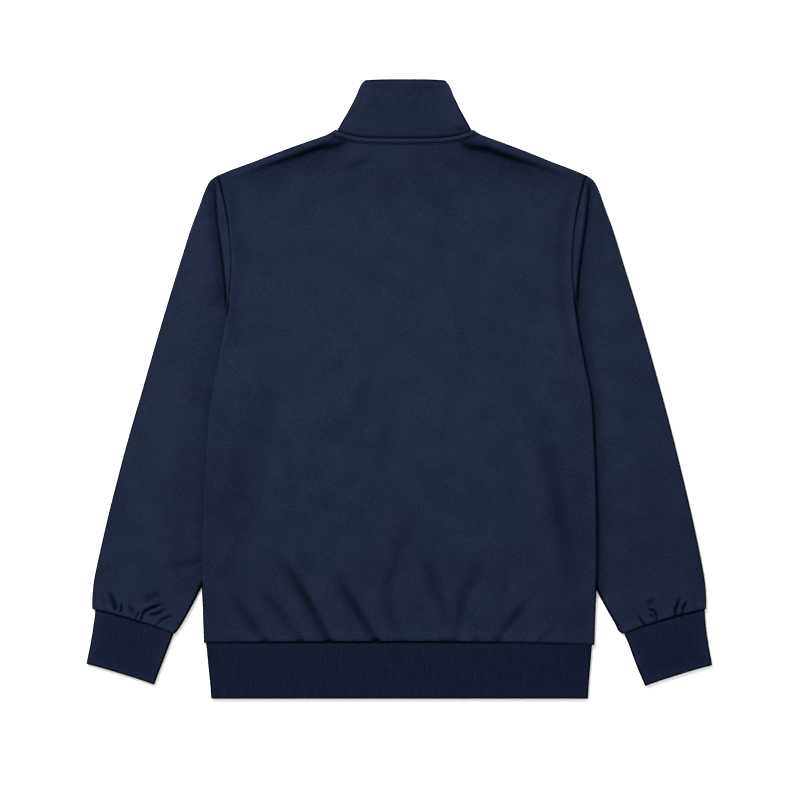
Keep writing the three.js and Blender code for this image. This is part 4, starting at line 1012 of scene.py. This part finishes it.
def knit_cloth(name, colour, loop, roughness, sheen):
    """Smooth warp-knit cloth: fine wales and courses, small grains of light and dark, and a soft sheen."""
    nodes = Nodes(name)
    uv = nodes.add("ShaderNodeUVMap", uv_map="cloth")
    wales = rows_of_loops(nodes, uv, loop)
    courses = rows_of_loops(nodes, uv, loop * 0.8, turned=True)
    loops = nodes.add("ShaderNodeMath", operation="MULTIPLY")
    nodes.join(wales, "Fac", loops, 0)
    nodes.join(courses, "Fac", loops, 1)
    grain, patch = speckle(nodes, 0.0022), speckle(nodes, 0.030, 3.0)
    in_shade(nodes, shaded(nodes, summed(nodes, patch, 0.45, grain, "Fac"), "Value", colour, 0.15, 1.60))
    fine = bumped(nodes, loops, "Value", 0.25, 0.00012)
    return soft_finish(nodes, bumped(nodes, grain, "Fac", 0.35, 0.0003, fine), roughness, sheen, 0.4)


def rib_cloth(name, colour, pitch):
    """Rib knit: rounded ribs with narrow furrows between them, fine loops along each, long streaks
    and grains. The ribs also paint shade into the colour, darker in the furrows."""
    nodes = Nodes(name)
    uv = nodes.add("ShaderNodeUVMap", uv_map="cloth")
    ribs = rows_of_loops(nodes, uv, pitch)
    courses = rows_of_loops(nodes, uv, pitch * 0.42, turned=True)
    grain = speckle(nodes, 0.0020)
    stretch = nodes.add("ShaderNodeMapping")
    stretch.inputs["Scale"].default_value = (1.0, 0.16, 1.0)
    nodes.join(uv, "UV", stretch, "Vector")
    streaks = nodes.add("ShaderNodeTexNoise", Scale=1 / 0.0034, Detail=3.0, Roughness=0.7)
    nodes.join(stretch, "Vector", streaks, "Vector")
    base = nodes.add("ShaderNodeMath", operation="SUBTRACT")
    base.inputs[1].default_value = 0.50
    nodes.join(grain, "Fac", base, 0)
    # The ribs darken the colour in the furrows between them as painted shade; the streaks and grains are the knit's
    # own uneven tone.
    tone = summed(nodes, streaks, 0.75, summed(nodes, ribs, 0.25, base, "Value"), "Value")
    in_shade(nodes, shaded(nodes, tone, "Value", colour, 0.4, 1.6))
    deep = bumped(nodes, ribs, "Fac", 0.35, 0.0006)
    fine = bumped(nodes, courses, "Fac", 0.2, 0.0002, deep)
    return soft_finish(nodes, bumped(nodes, grain, "Fac", 0.35, 0.0003, fine), 0.85, 0.004, 0.5)


def dull_metal(name, colour, metallic, roughness):
    """Painted zip metal or moulded teeth, with fine marks in the gloss."""
    nodes = Nodes(name)
    grain = speckle(nodes, 0.0006, 4.0)
    mixed = shaded(nodes, grain, "Fac", colour, 0.7, 1.3)
    nodes.tree.links.new(mixed.outputs[2], nodes.shader.inputs["Base Color"])
    rough = bumped(nodes, grain, "Fac", 0.15, 0.0001)
    nodes.join(rough, "Normal", nodes.shader, "Normal")
    nodes.shader.inputs["Metallic"].default_value = metallic
    nodes.shader.inputs["Roughness"].default_value = roughness
    return nodes.material


def material(name, make):
    """The material of that name, made once."""
    return bpy.data.materials.get(name) or make()


def body_cloth():
    """The body cloth in the panel's colour."""
    look = bpy.context.scene.jacket_colours
    return material("jacket_cloth", lambda: knit_cloth(
        "jacket_cloth", look.body, bpy.context.scene.jacket_sizes.loop, 0.62, look.sheen))


def rib_knit():
    """The rib knit in the panel's colour."""
    return material("jacket_rib", lambda: rib_cloth(
        "jacket_rib", bpy.context.scene.jacket_colours.rib, bpy.context.scene.jacket_sizes.rib_pitch))


# Properties ------------------------------------------------------------------------------------


class JacketSizes(bpy.types.PropertyGroup):
    folds: FloatProperty(name="Folds", description="How strong creases and waves are", default=1.0, min=0, max=2)
    loop: FloatProperty(name="Loop", description="Pitch of the body cloth's loops", default=0.0009, unit="LENGTH")
    rib_pitch: FloatProperty(name="Rib", description="Pitch of the ribs", default=0.0025, unit="LENGTH")
    stitch: FloatProperty(name="Stitch", description="Pitch of the topstitching", default=0.0022, unit="LENGTH")
    tooth: FloatProperty(name="Tooth", description="Pitch of the zip's teeth", default=0.0027, unit="LENGTH")


def colour(name, description, default):
    """A colour that the user can change."""
    return FloatVectorProperty(name=name, description=description, subtype="COLOR", default=default, size=3,
                               min=0, max=1)


class JacketColours(bpy.types.PropertyGroup):
    body: colour("Body", "Colour of the body cloth", (0.0067, 0.0096, 0.0203))
    rib: colour("Rib", "Colour of the rib knit", (0.0048, 0.0065, 0.0156))
    tape: colour("Tape", "Colour of the zip tape", (0.008, 0.012, 0.030))
    metal: colour("Metal", "Colour of the zip's metal", (0.012, 0.014, 0.022))
    # The thread's navy is made darker still, as dark as the shade in the groove it lies in: painted shade.
    thread: colour("Thread", "Colour of the topstitching", (0.0010, 0.0016, 0.0048))
    sheen: FloatProperty(name="Sheen", description="Soft shine of the body cloth", default=0.006, min=0, max=1)


class JacketStage(bpy.types.PropertyGroup):
    key: FloatProperty(name="Key light", description="Power of the soft light from the upper left",
                       default=430, unit="POWER")
    fill: FloatProperty(name="Fill light", description="Strength of the light from all round", default=0.75)
    height: FloatProperty(name="Camera height", description="Height of the camera above the floor",
                          default=2.6, unit="LENGTH")
    width: FloatProperty(name="View width", description="Width of the floor in the picture",
                         default=0.98765, unit="LENGTH")


# Operators -------------------------------------------------------------------------------------


class JACKET_OT_back(bpy.types.Operator):
    """Makes the back panel"""

    bl_idname = "jacket.back"
    bl_label = "Back panel"

    def execute(self, context):
        cloth_piece("back_panel", back_grid(context.scene.jacket_sizes.folds), body_cloth(), CLOTH,
                    "body_cloth", "back", dict(flat=(0.488, 0.632), area=0.282,
                                               rests_on=["front_panel_left", "front_panel_right"]))
        return {"FINISHED"}


class JACKET_OT_fronts(bpy.types.Operator):
    """Makes both front panels"""

    bl_idname = "jacket.fronts"
    bl_label = "Front panels"

    def execute(self, context):
        for side, name, width, area in ((-1, "left", 0.232, 0.128), (1, "right", 0.247, 0.138)):
            cloth_piece(f"front_panel_{name}", front_grid(side), body_cloth(), CLOTH, "body_cloth", f"front_{name}",
                        dict(flat=(width, 0.632), area=area, rests_on=[f"sleeve_cloth_{name}"]), flip=side > 0)
        return {"FINISHED"}


class JACKET_OT_sleeves(bpy.types.Operator):
    """Makes both sleeves"""

    bl_idname = "jacket.sleeves"
    bl_label = "Sleeves"

    def execute(self, context):
        for side, name in SIDES:
            cloth_piece(f"sleeve_cloth_{name}", sleeve_grid(side, context.scene.jacket_sizes.folds), body_cloth(),
                        CLOTH, "body_cloth", f"sleeve_{name}", dict(flat=(0.31, 0.56), area=0.123),
                        ring=True, flip=side < 0)
        return {"FINISHED"}


class JACKET_OT_cuffs(bpy.types.Operator):
    """Makes both rib cuffs"""

    bl_idname = "jacket.cuffs"
    bl_label = "Cuffs"

    def execute(self, context):
        for side, name in SIDES:
            cloth_piece(f"cuff_rib_{name}", cuff_grid(side), rib_knit(), RIB, "rib_knit", f"cuff_{name}",
                        dict(flat=(0.204, 0.068)), ring=True, flip=side < 0)
        return {"FINISHED"}


class JACKET_OT_hem(bpy.types.Operator):
    """Makes the rib hem band"""

    bl_idname = "jacket.hem"
    bl_label = "Hem band"

    def execute(self, context):
        cloth_piece("hem_rib", hem_grid(), rib_knit(), RIB, "rib_knit", "hem_band", dict(flat=(0.945, 0.070)),
                    flip=True)
        return {"FINISHED"}


class JACKET_OT_collar(bpy.types.Operator):
    """Makes the stand collar"""

    bl_idname = "jacket.collar"
    bl_label = "Collar"

    def execute(self, context):
        cloth_piece("stand_collar", collar_grid(context.scene.jacket_sizes.folds), body_cloth(), STAND,
                    "body_cloth", "collar", dict(flat=(0.40, 0.071), area=0.0207))
        return {"FINISHED"}


class JACKET_OT_stitches(bpy.types.Operator):
    """Makes the topstitching below the collar"""

    bl_idname = "jacket.stitches"
    bl_label = "Topstitching"

    def execute(self, context):
        sizes = context.scene.jacket_sizes
        places, along = stitch_line(sizes.stitch / MM, sizes.folds)
        form = ball_end(0.74 * sizes.stitch / MM, 0.3)
        thread = material("jacket_thread", lambda: dull_metal(
            "jacket_thread", context.scene.jacket_colours.thread, 0.0, 0.7))
        obj = repeated("neck_stitches", form, places, along, thread)
        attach(obj, "garment")
        return {"FINISHED"}


class JACKET_OT_zip(bpy.types.Operator):
    """Makes the zip's tapes and teeth and finishes its box, slider and pull tab"""

    bl_idname = "jacket.zip"
    bl_label = "Zip"

    def execute(self, context):
        look, sizes = context.scene.jacket_colours, context.scene.jacket_sizes
        tape = material("jacket_tape", lambda: rib_cloth("jacket_tape", look.tape, 0.0012))
        for side, name in SIDES:
            cloth_piece(f"tape_{name}", tape_grid(side), tape, TAPE, "zip_tape", f"zip_tape_{name}",
                        dict(flat=(0.0115, 0.693), area=0.0066, rests_on=[f"front_panel_{name}"]), flip=side < 0)
        moulded = material("jacket_teeth", lambda: dull_metal("jacket_teeth", look.tape, 0.0, 0.45))
        places, along = tooth_places(sizes.tooth / MM)
        teeth = repeated("zip_teeth_row", tooth_form(), places, along, moulded)
        settle(teeth, "zip_chain")
        painted = material("jacket_metal", lambda: dull_metal("jacket_metal", look.metal, 0.85, 0.38))
        for name in ("zip_box", "zip_slider", "pull_tab"):
            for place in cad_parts[name].material_slots:
                place.material = painted
        return {"FINISHED"}


class JACKET_OT_stage(bpy.types.Operator):
    """Makes the floor, the light and the camera"""

    bl_idname = "jacket.stage"
    bl_label = "Floor, light and camera"

    def execute(self, context):
        scene, stage = context.scene, context.scene.jacket_stage
        mesh = bpy.data.meshes.new("floor")
        far, low = 15.0, -0.0003
        corners = [(-far, -far, low), (far, -far, low), (far, far, low), (-far, far, low)]
        mesh.from_pydata(corners, [], [(0, 1, 2, 3)])
        nodes = Nodes("pale_floor")
        nodes.shader.inputs["Base Color"].default_value = (0.93, 0.93, 0.935, 1)
        nodes.shader.inputs["Roughness"].default_value = 0.9
        nodes.shader.inputs["Specular IOR Level"].default_value = 0.1
        nodes.shader.inputs["Emission Color"].default_value = (1, 1, 1, 1)
        nodes.shader.inputs["Emission Strength"].default_value = 0.22
        linked("floor", mesh, nodes.material)
        world = bpy.data.worlds.new("studio")
        world.use_nodes = True
        world.node_tree.nodes["Background"].inputs[0].default_value = (1, 1, 1, 1)
        world.node_tree.nodes["Background"].inputs[1].default_value = stage.fill
        scene.world = world
        light = bpy.data.lights.new("key", "AREA")
        light.shape, light.size, light.energy = "DISK", 2.0, stage.key
        key = bpy.data.objects.new("key", light)
        scene.collection.objects.link(key)
        place = np.array([-1.9, 2.9, 2.75])
        key.location = place
        key.rotation_euler = Vector((-place).tolist()).to_track_quat("-Z", "Y").to_euler()
        camera = bpy.data.cameras.new("camera")
        camera.sensor_width = 36.0
        camera.lens = 36.0 * (stage.height - LAY * MM) / stage.width
        camera.clip_end = 50.0
        shot = bpy.data.objects.new("camera", camera)
        scene.collection.objects.link(shot)
        shot.location = (0.0004, -0.0131, stage.height)
        scene.camera = shot
        scene.view_settings.view_transform = "Standard"
        return {"FINISHED"}


class JACKET_PT_pieces(bpy.types.Panel):
    """Lists the jacket's pieces"""

    bl_idname = "JACKET_PT_pieces"
    bl_label = "Track jacket"
    bl_space_type = "VIEW_3D"
    bl_region_type = "UI"
    bl_category = "Jacket"

    def draw(self, context):
        for group in (context.scene.jacket_sizes, context.scene.jacket_colours, context.scene.jacket_stage):
            for name in group.__annotations__:
                self.layout.prop(group, name)
        for made in PIECES:
            self.layout.operator(made.bl_idname)


PIECES = (
    JACKET_OT_back, JACKET_OT_fronts, JACKET_OT_sleeves, JACKET_OT_cuffs, JACKET_OT_hem, JACKET_OT_collar,
    JACKET_OT_stitches, JACKET_OT_zip, JACKET_OT_stage,
)
GROUPS = (("jacket_sizes", JacketSizes), ("jacket_colours", JacketColours), ("jacket_stage", JacketStage))


def register():
    for name, group in GROUPS:
        bpy.utils.register_class(group)
        setattr(bpy.types.Scene, name, PointerProperty(type=group))
    for made in (*PIECES, JACKET_PT_pieces):
        bpy.utils.register_class(made)


def unregister():
    for made in (JACKET_PT_pieces, *reversed(PIECES)):
        bpy.utils.unregister_class(made)
    for name, group in reversed(GROUPS):
        delattr(bpy.types.Scene, name)
        bpy.utils.unregister_class(group)


def main():
    """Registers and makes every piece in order."""
    register()
    for make in (bpy.ops.jacket.back, bpy.ops.jacket.fronts, bpy.ops.jacket.sleeves, bpy.ops.jacket.cuffs,
                 bpy.ops.jacket.hem, bpy.ops.jacket.collar, bpy.ops.jacket.stitches, bpy.ops.jacket.zip,
                 bpy.ops.jacket.stage):
        make()


if __name__ == "__main__":
    main()
